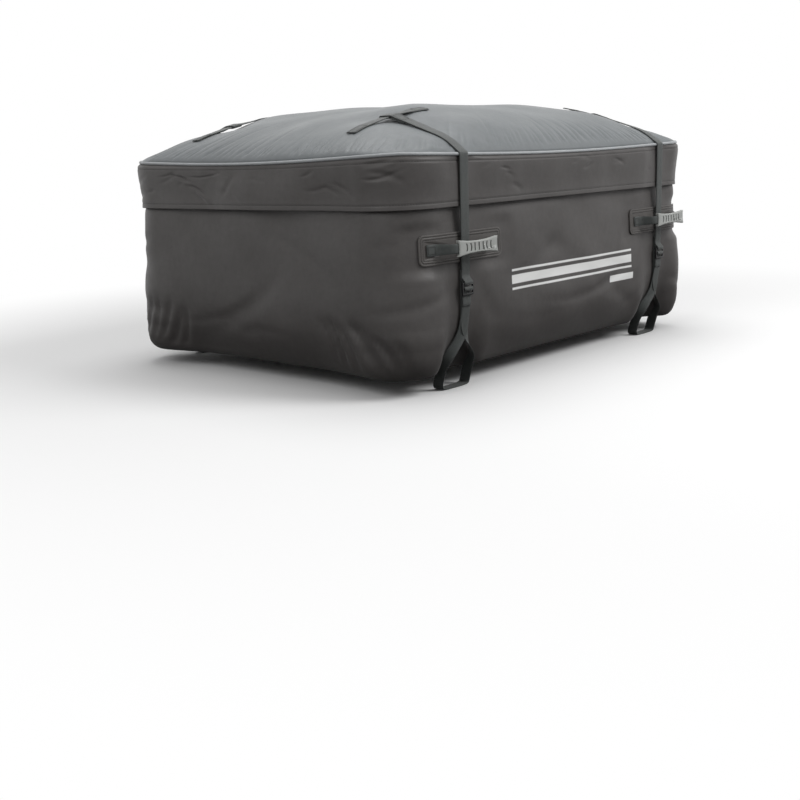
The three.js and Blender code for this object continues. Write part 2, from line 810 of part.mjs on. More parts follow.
// Assembly
const finishes = {
  coated: [0x4f4c4a, 0.62, 0],
  lid: [0x868b8c, 0.55, 0],
  piping: [0x9a9da0, 0.6, 0],
  patch: [0x595552, 0.65, 0],
  webbing: [0x474b49, 0.75, 0],
  grip: [0xb4b7b4, 0.5, 0],
  black: [0x17181a, 0.45, 0],
  metal: [0x8c8f92, 0.35, 0.9],
};
const bag = new THREE.Group();
bag.name = 'roof_cargo_bag';

function addPiece(name, geometry, finish) {
  const [color, roughness, metalness] = finishes[finish];
  const clean = mergeVertices(bareCopy(geometry), 1e-4);
  clean.computeVertexNormals();
  const mesh = new THREE.Mesh(clean, new THREE.MeshStandardMaterial({ color, roughness, metalness }));
  mesh.name = name;
  bag.add(mesh);
}

addPiece('tub', tub, 'coated');
addPiece('base_panel', outward(basePanel), 'coated');
addPiece('lid_panel', lidPanel, 'lid');
addPiece('lid_band', lidBand, 'coated');
addPiece('storm_flap', band(flapSection, restLine), 'coated');
addPiece('storm_flap_rear', band(flapSection, rearLine), 'coated');
addPiece('rim_piping', piping, 'piping');
addPiece('hinge_strip', hingeStrip, 'coated');
for (const [name, profile] of Object.entries(strips)) {
  addPiece(name, band(profile, zipLineRing), 'black');
}
for (const [side, sense] of [['left', 1], ['right', -1]]) {
  addPiece(`zip_slider_${side}`, slider(sense * sliderRest), 'metal');
  addPiece(`pull_tab_${side}`, pullTab(sense * sliderRest), 'metal');
}
const cornerPieces = [
  ['side_patch', sidePatch, 'patch'],
  ['side_handle', sideHandle, 'webbing'],
  ['side_grip', sideGrip, 'grip'],
  ['top_handle', topHandle, 'webbing'],
  ['upper_strap', upperStrap, 'webbing'],
  ['ladder_lock', ladderLock, 'black'],
  ['lower_strap', lowerStrap, 'webbing'],
];
for (const [end, row] of Object.entries(strapRows)) {
  for (const [name, make, finish] of cornerPieces) {
    addPiece(`${name}_left_${end}`, make(row, 1), finish);
    addPiece(`${name}_right_${end}`, mirrored(make(row, -1)), finish);
  }
}

export default bag;
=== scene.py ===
"""Roof cargo bag: cloth, webbing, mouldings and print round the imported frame."""

import math

import bmesh
import bpy
import numpy as np
from bpy.props import FloatProperty, FloatVectorProperty, PointerProperty
from mathutils import Matrix, Vector
from mathutils.bvhtree import BVHTree


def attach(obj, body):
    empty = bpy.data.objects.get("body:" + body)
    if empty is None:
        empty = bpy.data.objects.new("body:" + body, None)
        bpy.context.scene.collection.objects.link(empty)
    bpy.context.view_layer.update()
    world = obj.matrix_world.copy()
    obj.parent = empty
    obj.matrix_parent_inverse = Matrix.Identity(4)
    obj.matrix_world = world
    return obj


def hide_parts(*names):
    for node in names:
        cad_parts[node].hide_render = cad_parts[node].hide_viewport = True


bl_info = {
    "name": "Roof cargo bag",
    "version": (1, 0, 0),
    "blender": (4, 5, 0),
    "location": "View3D > Sidebar > Cargo bag",
    "description": "Builds the cloth, webbing, mouldings and print of a soft roof cargo bag",
    "category": "Add Mesh",
}

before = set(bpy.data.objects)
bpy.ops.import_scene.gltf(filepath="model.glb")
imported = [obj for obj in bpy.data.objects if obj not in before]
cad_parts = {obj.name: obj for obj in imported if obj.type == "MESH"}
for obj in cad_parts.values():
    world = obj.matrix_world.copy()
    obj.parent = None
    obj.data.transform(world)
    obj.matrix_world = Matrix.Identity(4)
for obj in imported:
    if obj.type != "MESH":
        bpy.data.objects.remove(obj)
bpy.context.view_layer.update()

# Lengths in metres
MM = 0.001
SEAM = 0.3 * MM
# Packed wall from the base up: distance out from the rim line, height, both in millimetres
WALL = [
    (-50, 0), (-40, 1), (-31, 7), (-24, 17), (-16, 33), (-7, 55), (-1, 78), (1, 100), (2, 140),
    (-1, 200), (-3, 262), (-9, 324), (-14.5, 346.7),
]
WALL_POINTS = 80
# How much fuller it is at a corner, and how far a taut strap presses it in
CORNER_FULL = [(28, 0), (27, 16), (24, 35), (17, 60), (12, 100), (12, 140), (9, 212), (7, 282),
               (6, 318), (0, 345)]
STRAP_PRESS = [(14, 0), (14, 50), (5, 120), (1, 200), (1, 300), (0, 335)]
# Fullness of the four corners: front left, rear left, rear right, front right
FULLNESS = {(1, -1): 0.8, (1, 1): 1.0, (-1, 1): 1.1, (-1, -1): 1.35}
# Share of the tub's cloth that lies below the base
BASE_SHARE = 0.14
TUB_CLOTH = 1.2 * MM
LID_CLOTH = 1 * MM
FLAP_CLOTH = 1.8 * MM
LID_SHOULDER = 5 * MM
# Below this height the cloth doesn't follow the sag of the rim
BAND_FOOT = 0.377
# How far the flap stands out halfway down, at this height, and at its lower edge
FLAP_MIDDLE = 0.375
FLAP_SWELL = 1.6 * MM
FLAP_LIFT = 1.5 * MM
FLAP_FLARE = 6.8 * MM
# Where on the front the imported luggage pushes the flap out, along the outline, and how far
FLAP_BELLY = 3.40
BELLY_OUT = 8.5 * MM
# Stitch lines of the flap, from its lower and its upper edge
HEM = 10 * MM
FLAP_SEAM = 11 * MM
PIPING_RADIUS = 3.5 * MM
PIPING_OUT = 0.5 * MM
LID_EDGE = -(PIPING_RADIUS - PIPING_OUT) - SEAM
# From the middle of a strap to what it lies on, and the slack on top of it
LIE = SEAM + 1 * MM
LOOSENESS = 0.5 * MM
PATCH_Z = 0.247
PATCH_CLOTH = 2.5 * MM
PATCH_CORNER = 12 * MM
HANDLE_STAND = 0.038
LOCK_Z = 0.166
LOCK_BAR = 4 * MM
LOCK_STAND = 10 * MM
LOOP_X = 0.384
# How far out from the middle of the top handle the upper strap's loop is sewn
LOOP_SEWN = 0.052
BAR_WIDTH = 0.080
BAR_DEPTH = 0.030
# How soft the edge of the print is
PRINT_EDGE = 0.6 * MM
FLOOR_Z = -0.0340
BOTH_SIDES = (("left", 1), ("right", -1))


def length_property(name, description, value):
    return FloatProperty(name=name, description=description, default=value, unit="LENGTH")


class CargoBagSizes(bpy.types.PropertyGroup):
    """Main sizes of the bag"""

    width: length_property("Width", "Across the car at the rim", 0.846)
    length: length_property("Length", "Along the car at the rim", 1.08)
    corner: length_property("Corner radius", "Upright corners in plan", 0.106)
    rim: length_property("Rim height", "Height of the rim at the corners", 0.425)
    rim_sag: length_property("Rim sag", "How far the rim hangs between corners", 0.01)
    dome: length_property("Dome rise", "Height of the lid above the rim", 0.104)
    dent: length_property("Strap dent", "Hollow below each top handle", 0.011)
    dent_width: length_property("Dent width", "Half width of that hollow", 0.048)
    flap_foot: length_property("Flap foot", "Height of the storm flap's lower edge", 0.324)
    web: length_property("Webbing width", "Width of all webbing", 0.025)
    web_thickness: length_property("Webbing thickness", "Thickness of all webbing", 0.002)
    front_row: length_property("Front row", "Front straps along the car", -0.358)
    rear_row: length_property("Rear row", "Rear straps along the car", 0.378)
    handle_x: length_property("Top handle place", "Top handles across the lid", 0.241)
    handle_length: length_property("Top handle length", "Webbing of a top handle", 0.218)
    handle_rise: length_property("Top handle rise", "How far the strap lifts it", 0.007)
    patch_length: length_property("Patch length", "Patch below a side handle", 0.242)
    patch_height: length_property("Patch height", "Patch below a side handle", 0.058)
    grip_length: length_property("Grip length", "Moulded sleeve of a side handle", 0.119)


def colour_property(name, description, value):
    return FloatVectorProperty(
        name=name, description=description, default=value, subtype="COLOR", size=3, min=0, max=1
    )


class CargoBagColours(bpy.types.PropertyGroup):
    """Colours of the bag, linear"""

    cloth: colour_property("Cloth", "Coated cloth of tub and flap", (0.058, 0.053, 0.051))
    # Painted light: the lid is the same dark coated cloth as tub and flap, painted lighter and
    # bluer to stand for the sheen of light from above on its top
    lid: colour_property("Lid", "Coated cloth of the lid", (0.128, 0.140, 0.146))
    piping: colour_property("Piping", "Bound bead at the rim", (0.33, 0.345, 0.355))
    webbing: colour_property("Webbing", "Straps and handles", (0.050, 0.056, 0.054))
    patch: colour_property("Patch", "Doubled cloth below the handles", (0.070, 0.064, 0.060))
    grip: colour_property("Grip", "Moulded sleeves", (0.36, 0.37, 0.355))
    moulding: colour_property("Moulding", "Ladder-locks and zip", (0.008, 0.008, 0.009))
    metal: colour_property("Metal", "Lacquered zip sliders", (0.055, 0.056, 0.06))
    thread: colour_property("Thread", "Stitching", (0.035, 0.034, 0.033))
    ink: colour_property("Print", "Plain stripes on the sides", (0.86, 0.86, 0.85))


def bag():
    return bpy.context.scene.cargo_bag_sizes


def paint():
    return bpy.context.scene.cargo_bag_colours


def rows():
    return (("front", bag().front_row), ("rear", bag().rear_row))


def corners():
    """Each corner's name, its place along the car, and its side as a sign"""
    for end, row in rows():
        for side, sense in BOTH_SIDES:
            yield f"{side}_{end}", row, sense


# Curves
def softened(points, cuts):
    """A line of points with its corners cut off again and again"""
    line = np.array(points, float)
    for _ in range(cuts):
        near = line[:-1] * 0.75 + line[1:] * 0.25
        far = line[:-1] * 0.25 + line[1:] * 0.75
        both = np.stack([near, far], axis=1).reshape(-1, line.shape[1])
        line = np.concatenate([line[:1], both, line[-1:]])
    return line


def distance_along(line):
    """How far along a line of points each of them is"""
    steps = np.linalg.norm(np.diff(line, axis=0), axis=1)
    return np.concatenate([[0], np.cumsum(steps)])


def evened(line, count):
    """The same line with its points at even distances"""
    at = distance_along(line)
    want = np.linspace(0, at[-1], count)
    return np.stack([np.interp(want, at, column) for column in line.T], axis=1)


def unit_rows(rows):
    return rows / np.linalg.norm(rows, axis=1)[:, None]


def smoothstep(x, low, high):
    t = np.clip((x - low) / (high - low), 0, 1)
    return t * t * (3 - 2 * t)


def wall_line():
    return evened(softened(np.array(WALL) * MM, 3), WALL_POINTS)


def at_height(z, profile):
    table = np.array(profile) * MM
    return np.interp(z, table[:, 1], table[:, 0])


def round_rectangle(u, centres, radius, first_angle):
    """At shares u of the way round: centres of the turns, outward directions, whole length"""
    sides = np.linalg.norm(np.roll(centres, -1, axis=0) - centres, axis=1)
    runs = np.column_stack([np.full(4, math.pi * radius / 2), sides]).ravel()
    starts = np.concatenate([[0], np.cumsum(runs)])
    along = (u % 1.0) * starts[-1]
    run = np.clip(np.searchsorted(starts, along, side="right") - 1, 0, 7)
    part = (along - starts[run]) / runs[run]
    turning = run % 2 == 0
    angle = np.radians(first_angle + 90 * (run // 2) + np.where(turning, 90 * part, 90))
    out = np.stack([np.cos(angle), np.sin(angle)], axis=-1)
    slide = np.where(turning, 0, part)[..., None]
    centre = centres[run // 2] * (1 - slide) + centres[(run // 2 + 1) % 4] * slide
    return centre, out, starts[-1]


# The bag's form
def corner_centre():
    """Centre of the rear left corner in plan"""
    size = bag()
    return size.width / 2 - size.corner, size.length / 2 - size.corner


def outline(u):
    """Plan outline at shares u of its length: points, outward directions, distance along"""
    radius = bag().corner
    cx, cy = corner_centre()
    centres = np.array([[cx, -cy], [cx, cy], [-cx, cy], [-cx, -cy]])
    centre, out, total = round_rectangle(u, centres, radius, -90)
    return centre + radius * out, out, u * total


def rim_drop(x, y):
    size = bag()
    across = np.minimum(1, np.abs(x) / (size.width / 2))
    along = np.minimum(1, np.abs(y) / (size.length / 2))
    share = np.minimum(across, along) / np.maximum(np.maximum(across, along), 1e-6)
    return size.rim_sag * (1 - share**2) ** 1.4


def laid_out(point, out, offset, z):
    share = np.clip((z - BAND_FOOT) / (bag().rim - BAND_FOOT), 0, 1)
    flat = point + out * np.asarray(offset)[..., None]
    return np.column_stack([flat, z - rim_drop(point[:, 0], point[:, 1]) * share])


def dome_height(x, y):
    size = bag()
    u = 1 - np.minimum(1, np.abs(x) / (size.width / 2)) ** 3.7
    v = 1 - np.minimum(1, np.abs(y) / (size.length / 2)) ** 3.24
    reach = smoothstep(np.abs(x), size.handle_x - 0.11, size.handle_x)
    reach = reach * (1 - smoothstep(np.abs(x), size.handle_x, size.width / 2))
    pressed = np.maximum.reduce(
        [np.exp(-(((y - row) / size.dent_width) ** 2)) for _, row in rows()]
    )
    return size.dome * (u * v) ** 0.8 - size.dent * reach * pressed


def near_straps(x, y, clear, free):
    """1 where a strap lies on the wall, 0 away from it"""
    side = smoothstep(np.abs(x), 0.25, 0.3)
    rows_near = [1 - smoothstep(np.abs(y - row), clear, free) for _, row in rows()]
    return side * np.maximum.reduce(rows_near)


# Soft folds: distance along the outline, height, lean in degrees, half length, half width, depth
def scattered(draw, count, total, heights, leans, lengths, widths, depths):
    """Folds strewn over the cloth, each measure drawn from its range"""
    return [
        (
            draw.uniform(0, total), draw.uniform(*heights),
            draw.choice([-1, 1]) * draw.uniform(*leans),
            draw.uniform(*lengths), draw.uniform(*widths), draw.uniform(*depths),
        )
        for _ in range(count)
    ]


def fold_field(along, z, folds, total):
    field = np.zeros_like(along)
    for at, height, lean, length, width, depth in folds:
        da = (along - at + total / 2) % total - total / 2
        dz = z - height
        c, s = math.cos(math.radians(lean)), math.sin(math.radians(lean))
        run = (da * s + dz * c) / length
        side = (da * c - dz * s + 0.12 * length * run**2) / width
        field += depth * np.exp(-(side**2)) * np.exp(-(run**4))
    return field


# How far each measure of a corner's folds may stray
FOLD_STRAYS = [
    (-0.006, 0.006), (-0.014, 0.014), (-7, 7), (-0.012, 0.014), (-0.001, 0.002),
    (-0.0016, 0.0018),
]


def tub_folds(seed):
    """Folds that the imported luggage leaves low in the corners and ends"""
    cx, cy = corner_centre()
    quarter = math.pi * bag().corner / 2
    total = 4 * quarter + 4 * cx + 4 * cy
    draw = np.random.default_rng(seed)
    folds = []
    corner_starts = [0, quarter + 2 * cy, 2 * quarter + 2 * cy + 2 * cx,
                     3 * quarter + 4 * cy + 2 * cx]
    for k, start in enumerate(corner_starts):
        lean = -24 if k % 2 == 0 else 24
        for step in range(7):
            reach = 0.085 - 0.029 * step
            at = start - reach if k % 2 == 0 else start + quarter + reach
            fold = (at, 0.062, lean, 0.050, 0.0062, -0.0062)
            folds.append([m + draw.uniform(*stray) for m, stray in zip(fold, FOLD_STRAYS)])
    folds += scattered(
        draw, 46, total, (0.05, 0.27), (48, 92), (0.06, 0.16), (0.010, 0.026),
        (-0.0030, -0.0010),
    )
    return folds, total


def swell(along, z, scale=1.0):
    """Broad uneven bulges of packed cloth"""
    turn = 2 * math.pi * along / outline_length()
    wave = 0.0018 * np.sin(4 * turn + 11 * z + 1.3)
    wave += 0.0013 * np.sin(9 * turn - 19 * z + 0.4)
    wave += 0.0007 * np.sin(22 * turn + 31 * z + 2.2)
    return wave * scale


def outline_length():
    size = bag()
    straight = 2 * (size.width + size.length - 4 * size.corner)
    return straight + 2 * math.pi * size.corner


def corner_fullness(x, y):
    """How much of a corner's fullness a place on the outline has"""
    size = bag()
    near = np.minimum(np.abs(x) / (size.width / 2), np.abs(y) / (size.length / 2))
    share = smoothstep(near, 0.4, 0.9)
    amount = np.zeros_like(x)
    for (sx, sy), full in FULLNESS.items():
        amount += full * (np.sign(x) == sx) * (np.sign(y) == sy)
    return share * amount


# Meshes
def laid_grid(around, along, form):
    """A grid of cloth laid where form(u, v) says, with its weave coordinates in metres"""
    bm = bmesh.new()
    weave = bm.loops.layers.uv.new("weave")
    bmesh.ops.create_grid(bm, x_segments=around, y_segments=along, size=0.5)
    bm.verts.ensure_lookup_table()
    flat = np.array([vert.co for vert in bm.verts])[:, :2] + 0.5
    places, cloth = form(flat[:, 0], flat[:, 1])
    bm.verts.index_update()
    for face in bm.faces:
        for loop in face.loops:
            loop[weave].uv = cloth[loop.vert.index]
    for vert, place in zip(bm.verts, places):
        vert.co = place
    bmesh.ops.remove_doubles(bm, verts=bm.verts, dist=1e-5)
    return bm


def faced_out(bm, centre=None):
    """Normals outwards, for an open shell away from its centre"""
    bmesh.ops.recalc_face_normals(bm, faces=bm.faces)
    if centre is not None:
        middle = Vector(centre)
        facing = sum(
            face.normal.dot(face.calc_center_median() - middle) * face.calc_area()
            for face in bm.faces
        )
        if facing < 0:
            bmesh.ops.reverse_faces(bm, faces=bm.faces)
    return bm


def linked(name, data):
    made = bpy.data.objects.new(name, data)
    bpy.context.scene.collection.objects.link(made)
    return made


def meshed(bm, name):
    """The finished mesh as an object"""
    mesh = bpy.data.meshes.new(name)
    bm.to_mesh(mesh)
    bm.free()
    return linked(name, mesh)


def kept(bm, name, look, nodes=()):
    """The finished mesh as a piece that rides on the bag and stands for its nodes"""
    piece = meshed(bm, name)
    piece.data.shade_smooth()
    piece.data.materials.append(finish(look))
    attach(piece, "bag")
    if nodes:
        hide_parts(*nodes)
    return piece


def thickened(piece, thickness):
    wall = piece.modifiers.new("cloth", "SOLIDIFY")
    wall.thickness = thickness
    wall.offset = -1
    wall.use_even_offset = True
    return piece


# Materials
def node(tree, kind, inputs=(), **values):
    made = tree.nodes.new(kind)
    for name, value in values.items():
        setattr(made, name, value)
    for name, value in dict(inputs).items():
        if isinstance(value, bpy.types.NodeSocket):
            tree.links.new(value, made.inputs[name])
        else:
            made.inputs[name].default_value = value
    return made


def sum_of(tree, operation, first, second):
    return node(tree, "ShaderNodeMath", {0: first, 1: second}, operation=operation).outputs[0]


def noise(tree, place, scale, detail, **more):
    inputs = {"Vector": place, "Scale": scale, "Detail": detail, **more}
    return node(tree, "ShaderNodeTexNoise", inputs).outputs["Fac"]


def ranged(tree, value, *limits, **values):
    """A value taken from one range to another"""
    names = ("From Min", "From Max", "To Min", "To Max")
    inputs = {"Value": value, **dict(zip(names, limits))}
    return node(tree, "ShaderNodeMapRange", inputs, **values).outputs[0]


def mixed(tree, share, first, second, **values):
    inputs = {0: share, 6: first, 7: second}
    return node(tree, "ShaderNodeMix", inputs, data_type="RGBA", **values).outputs[2]


def ridges(tree, cloth, pitch, direction, distortion):
    """Threads at an even pitch along one direction of the cloth"""
    inputs = {"Vector": cloth, "Scale": math.pi / (10 * pitch), "Distortion": distortion}
    waves = node(tree, "ShaderNodeTexWave", inputs, bands_direction=direction)
    return waves.outputs["Fac"]


def bumped(tree, height, strength, distance, **more):
    inputs = {"Height": height, "Strength": strength, "Distance": distance, **more}
    return node(tree, "ShaderNodeBump", inputs).outputs[0]


def finish_of(name, roughness, specular=0.5, sheen=0.0, metallic=0.0):
    """A new material with its tree, its shader and Object coordinates"""
    material = bpy.data.materials.new(name)
    material.use_nodes = True
    tree = material.node_tree
    shader = tree.nodes["Principled BSDF"]
    values = {
        "Roughness": roughness, "Specular IOR Level": specular, "Metallic": metallic,
        "Sheen Weight": sheen, "Sheen Roughness": 0.45,
    }
    for socket, value in values.items():
        shader.inputs[socket].default_value = value
    return material, tree, shader, node(tree, "ShaderNodeTexCoord").outputs["Object"]


def mottled(tree, colour, amount, scale, place):
    """A colour that drifts a little lighter and darker"""
    both = sum_of(tree, "ADD", noise(tree, place, scale, 4.0), noise(tree, place, scale * 14, 2.0))
    low, high = ([c * share for c in colour] + [1] for share in (1 - amount, 1 + amount))
    return mixed(tree, ranged(tree, both, 0.7, 1.3), low, high)


def own_weave(tree):
    """The piece's own weave coordinates"""
    return node(tree, "ShaderNodeUVMap", uv_map="weave").outputs[0]


def coated_cloth(name, colour, roughness, sheen, crease=0.25, printed=False):
    material, tree, shader, place = finish_of(name, roughness, 0.45, sheen)
    base = mottled(tree, colour, 0.09, 5.0, place)
    if printed:
        base = with_print(tree, base, place)
    tree.links.new(base, shader.inputs["Base Color"])
    rough = noise(tree, place, 9.0, 5.0)
    spread = ranged(tree, rough, 0.3, 0.7, roughness - 0.06, roughness + 0.07)
    tree.links.new(spread, shader.inputs["Roughness"])
    creases = noise(tree, place, 26.0, 6.0, Roughness=0.62)
    soft = bumped(tree, creases, crease, 0.0035)
    cloth = own_weave(tree)
    warp, weft = (ridges(tree, cloth, 0.0009, way, 0.4) for way in "XY")
    weave = sum_of(tree, "MULTIPLY", warp, weft)
    tree.links.new(bumped(tree, weave, 0.22, 0.00018, Normal=soft), shader.inputs["Normal"])
    return material


def band_mask(tree, value, middle, half):
    """1 within a band, 0 outside it"""
    away = sum_of(tree, "ABSOLUTE", sum_of(tree, "SUBTRACT", value, middle), 0.0)
    return ranged(tree, away, half - PRINT_EDGE, half + PRINT_EDGE, 1.0, 0.0)


# Printed stripes: middle and half size along the car, then up
PRINT_STRIPES = [
    (0.029, 0.231, 0.1840, 0.0024),
    (0.029, 0.231, 0.1650, 0.0090),
    (0.029, 0.231, 0.1460, 0.0024),
    (0.219, 0.048, 0.1245, 0.0075),
]


def with_print(tree, base, place):
    parts = node(tree, "ShaderNodeSeparateXYZ", {0: place}).outputs
    marks = 0.0
    for y, half_y, z, half_z in PRINT_STRIPES:
        across = band_mask(tree, parts["Y"], y, half_y)
        up = band_mask(tree, parts["Z"], z, half_z)
        marks = sum_of(tree, "MAXIMUM", sum_of(tree, "MULTIPLY", across, up), marks)
    on_side = sum_of(tree, "ABSOLUTE", parts["X"], 0.0)
    on_side = sum_of(tree, "GREATER_THAN", on_side, 0.36)
    marks = sum_of(tree, "MULTIPLY", marks, on_side)
    return mixed(tree, marks, base, [*paint().ink, 1])


def woven_webbing(name, colour):
    material, tree, shader, place = finish_of(name, 0.62, 0.4, 0.25)
    cloth = own_weave(tree)
    ribs = ridges(tree, cloth, 0.0016, "X", 0.3)
    cords = ridges(tree, cloth, 0.0021, "Y", 0.2)
    across = node(tree, "ShaderNodeSeparateXYZ", {0: cloth}).outputs["Y"]
    edge = sum_of(tree, "ABSOLUTE", across, 0.0)
    # Both long edges of the webbing are painted darker
    darker_edges = ranged(tree, edge, 0.0098, 0.0106, 0.0, 0.6)
    base = mottled(tree, colour, 0.12, 12.0, place)
    dark = mixed(tree, darker_edges, base, [0.62, 0.62, 0.62, 1], blend_type="MULTIPLY")
    tree.links.new(dark, shader.inputs["Base Color"])
    height = sum_of(tree, "MULTIPLY", ribs, cords)
    tree.links.new(bumped(tree, height, 0.6, 0.0004), shader.inputs["Normal"])
    return material


def moulded(name, colour, roughness, grain=0.12, metallic=0.0):
    material, tree, shader, place = finish_of(name, roughness, 0.5, 0.0, metallic)
    tree.links.new(mottled(tree, colour, 0.06, 30.0, place), shader.inputs["Base Color"])
    specks = noise(tree, place, 900.0, 2.0)
    tree.links.new(bumped(tree, specks, grain, 0.0003), shader.inputs["Normal"])
    return material


FINISHES = {}


def finish(name):
    """The bag's materials, each made once"""
    if not FINISHES:
        tint = paint()
        FINISHES.update(
            tub=coated_cloth("tub_cloth", tint.cloth, 0.50, 0.12, 0.22, printed=True),
            flap=coated_cloth("flap_cloth", tint.cloth, 0.50, 0.12, 0.20),
            # The lid's colour is painted sheen: its cloth is painted lighter and bluer than the
            # tub's same cloth
            lid=coated_cloth("lid_cloth", tint.lid, 0.46, 0.12, 0.16),
            patch=coated_cloth("patch_cloth", tint.patch, 0.52, 0.12, 0.10),
            piping=coated_cloth("piping_cloth", tint.piping, 0.5, 0.1, 0.1),
            webbing=woven_webbing("strap_webbing", tint.webbing),
            grip=moulded("grip_moulding", tint.grip, 0.46),
            moulding=moulded("black_moulding", tint.moulding, 0.36),
            metal=moulded("lacquered_zinc", tint.metal, 0.35, 0.05, 0.9),
            thread=moulded("thread", tint.thread, 0.7, 0.2),
        )
    return FINISHES[name]


# Bag body
def tub_form(u, v):
    point, out, along = outline(u)
    steps = np.arange(WALL_POINTS)
    place = np.clip((v - BASE_SHARE) / (1 - BASE_SHARE), 0, 1) * steps[-1]
    offset, z = (np.interp(place, steps, column) for column in wall_line().T)
    folds, total = tub_folds(7)
    depth = fold_field(along, z, folds, total) + swell(along, z)
    x, y = point.T
    free = 1 - near_straps(x, y, 0.026, 0.085)
    under = smoothstep(z, 0.19, 0.215) * (1 - smoothstep(z, 0.28, 0.305))
    free = free * (1 - under * near_straps(x, y, 0.13, 0.17))
    depth = depth * smoothstep(z, 0.004, 0.03) * (1 - smoothstep(z, 0.30, 0.335))
    depth = depth + corner_fullness(x, y) * at_height(z, CORNER_FULL)
    pressed = at_height(z, STRAP_PRESS) + 0.8 * MM
    offset = offset + depth * free - pressed * (1 - free)
    share = np.clip(v / BASE_SHARE, 0, 1)[:, None]
    flat = (point + out * offset[:, None]) * share
    return np.column_stack([flat, z]), np.column_stack([along, z + v * 0.1])


def lid_gathers(seed, total):
    draw = np.random.default_rng(seed)
    gathers = []
    at = 0.0
    while at < total:
        at += draw.uniform(0.009, 0.026)
        long = draw.random() < 0.2
        gathers.append((
            at,
            draw.uniform(0.0020, 0.0040),
            draw.uniform(0.07, 0.12) if long else draw.uniform(0.026, 0.060),
            draw.uniform(0.0014, 0.0028) if long else draw.uniform(0.0030, 0.0062),
            draw.uniform(0.1, 0.55),
        ))
    return gathers


def lid_form(u, v):
    size = bag()
    point, out, along = outline(u)
    share = 1 - (0.32 * v + 0.68 * v * v)
    edge = point + out * (PIPING_OUT - LID_CLOTH)
    flat = edge * share[:, None]
    x, y = flat.T
    start = dome_height(*point.T) * share**8
    z = size.rim - rim_drop(*point.T) * share + dome_height(x, y) - start
    total = outline_length()
    away = np.linalg.norm(edge - flat, axis=1)
    shoulder = LID_SHOULDER * (1 - np.exp(-away / 0.006)) * np.exp(-away / 0.09)
    z = z + shoulder * (1 - near_straps(x, y, 0.014, 0.06))
    pucker = np.zeros_like(x)
    for at, width, reach, depth, slant in lid_gathers(11, total):
        side = (along - at - slant * away + 2 * slant * away**2 + total / 2) % total
        side = np.abs(side - total / 2) / (width * (1 + 9 * away))
        pucker += depth * np.exp(-side - 0.25 * side**2) * np.exp(-((away / reach) ** 2))
    pucker *= smoothstep(away, 0.006, 0.020)
    pucker = pucker * (1 - 0.6 * near_straps(x, y, 0.016, 0.05))
    z = z - np.minimum(pucker, 0.008)
    soft = 0.0012 * np.sin(31 * x + 17 * y) + 0.0009 * np.sin(23 * y - 37 * x + 1.0)
    z = z + soft * smoothstep(away, 0.02, 0.1)
    return np.column_stack([flat, z]), flat.copy()


def flap_top():
    """The flap's upper edge, sewn in under the bead"""
    return bag().rim - 2.2 * MM


# The long creases low on the front of the flap
FLAP_CREASES = [
    (3.155, 0.392, -72, 0.032, 0.0032, -0.0034),
    (3.175, 0.377, -66, 0.022, 0.0030, 0.0022),
    (3.205, 0.366, -68, 0.030, 0.0034, -0.0036),
    (3.225, 0.350, -62, 0.024, 0.0034, 0.0022),
    (3.235, 0.394, 84, 0.050, 0.0026, -0.0020),
    (3.310, 0.372, 40, 0.030, 0.0060, -0.0016),
]


def flap_form(u, v):
    size = bag()
    point, out, along = outline(u)
    x, y = point.T
    top = flap_top()
    z = top + (size.flap_foot - top) * v
    middle = (top - FLAP_MIDDLE) / (top - size.flap_foot)
    offset = np.interp(v, [0, middle, 1], [0, FLAP_SWELL, FLAP_LIFT])
    free = 1 - near_straps(x, y, 0.02, 0.075)
    total = outline_length()
    turn = 2 * math.pi * along / total
    lift = 0.0030 * v**2 * (0.75 + 0.5 * np.sin(5 * turn + 0.6) + 0.3 * np.sin(13 * turn))
    down = top - z
    belly = np.exp(-(((along - FLAP_BELLY) / 0.13) ** 4))
    flare = FLAP_FLARE * (1 - np.exp(-down / 0.0035)) * (1 - smoothstep(down, 0.006, 0.085))
    pushed = BELLY_OUT * smoothstep(down, 0.004, 0.075)
    lift = lift + flare * (1 - 0.55 * belly) + pushed * belly
    draw = np.random.default_rng(23)
    creases = scattered(
        draw, 64, total, (size.flap_foot + 0.02, top - 0.01), (55, 85), (0.012, 0.034),
        (0.0025, 0.006), (-0.0019, -0.0006),
    )
    creases += FLAP_CREASES
    fine = 0.0006 * np.sin(37 * turn + 2 * np.sin(10 * turn)) * (1 - v)
    depth = fold_field(along, z, creases, total) + swell(along, z, 0.5)
    depth = (depth + fine) * smoothstep(v, 0.0, 0.08)
    hem = 0.0008 * np.exp(-(((z - size.flap_foot - HEM) / 0.0016) ** 2))
    seam = 0.0009 * np.exp(-(((z - top + FLAP_SEAM) / 0.0018) ** 2))
    offset = offset + np.maximum(lift + depth, -0.002) * free - hem - seam
    return laid_out(point, out, offset, z), np.column_stack([along, z])


def piping_form(u, v):
    point, out, along = outline(u)
    angle = 2 * math.pi * v
    offset = PIPING_OUT + PIPING_RADIUS * np.cos(angle)
    z = bag().rim + PIPING_RADIUS * np.sin(angle)
    return laid_out(point, out, offset, z), np.column_stack([along, v * 0.022])


class CARGOBAG_OT_body(bpy.types.Operator):
    """Make the tub, the domed lid, the storm flap and the piping"""

    bl_idname = "cargo_bag.body"
    bl_label = "Bag body"

    def execute(self, context):
        def shell(around, along, form):
            return faced_out(laid_grid(around, along, form), (0, 0, 0.2))

        tub = kept(shell(460, 84, tub_form), "tub_cloth", "tub", ["tub", "base_panel"])
        thickened(tub, TUB_CLOTH)
        lid = kept(shell(1100, 44, lid_form), "lid_cloth", "lid", ["lid_panel"])
        thickened(lid, LID_CLOTH)
        flap = kept(
            shell(620, 62, flap_form), "storm_flap_cloth", "flap",
            ["storm_flap", "storm_flap_rear"],
        )
        thickened(flap, FLAP_CLOTH)
        bead = faced_out(laid_grid(460, 12, piping_form))
        kept(bead, "rim_bead", "piping", ["rim_piping"])
        return {"FINISHED"}


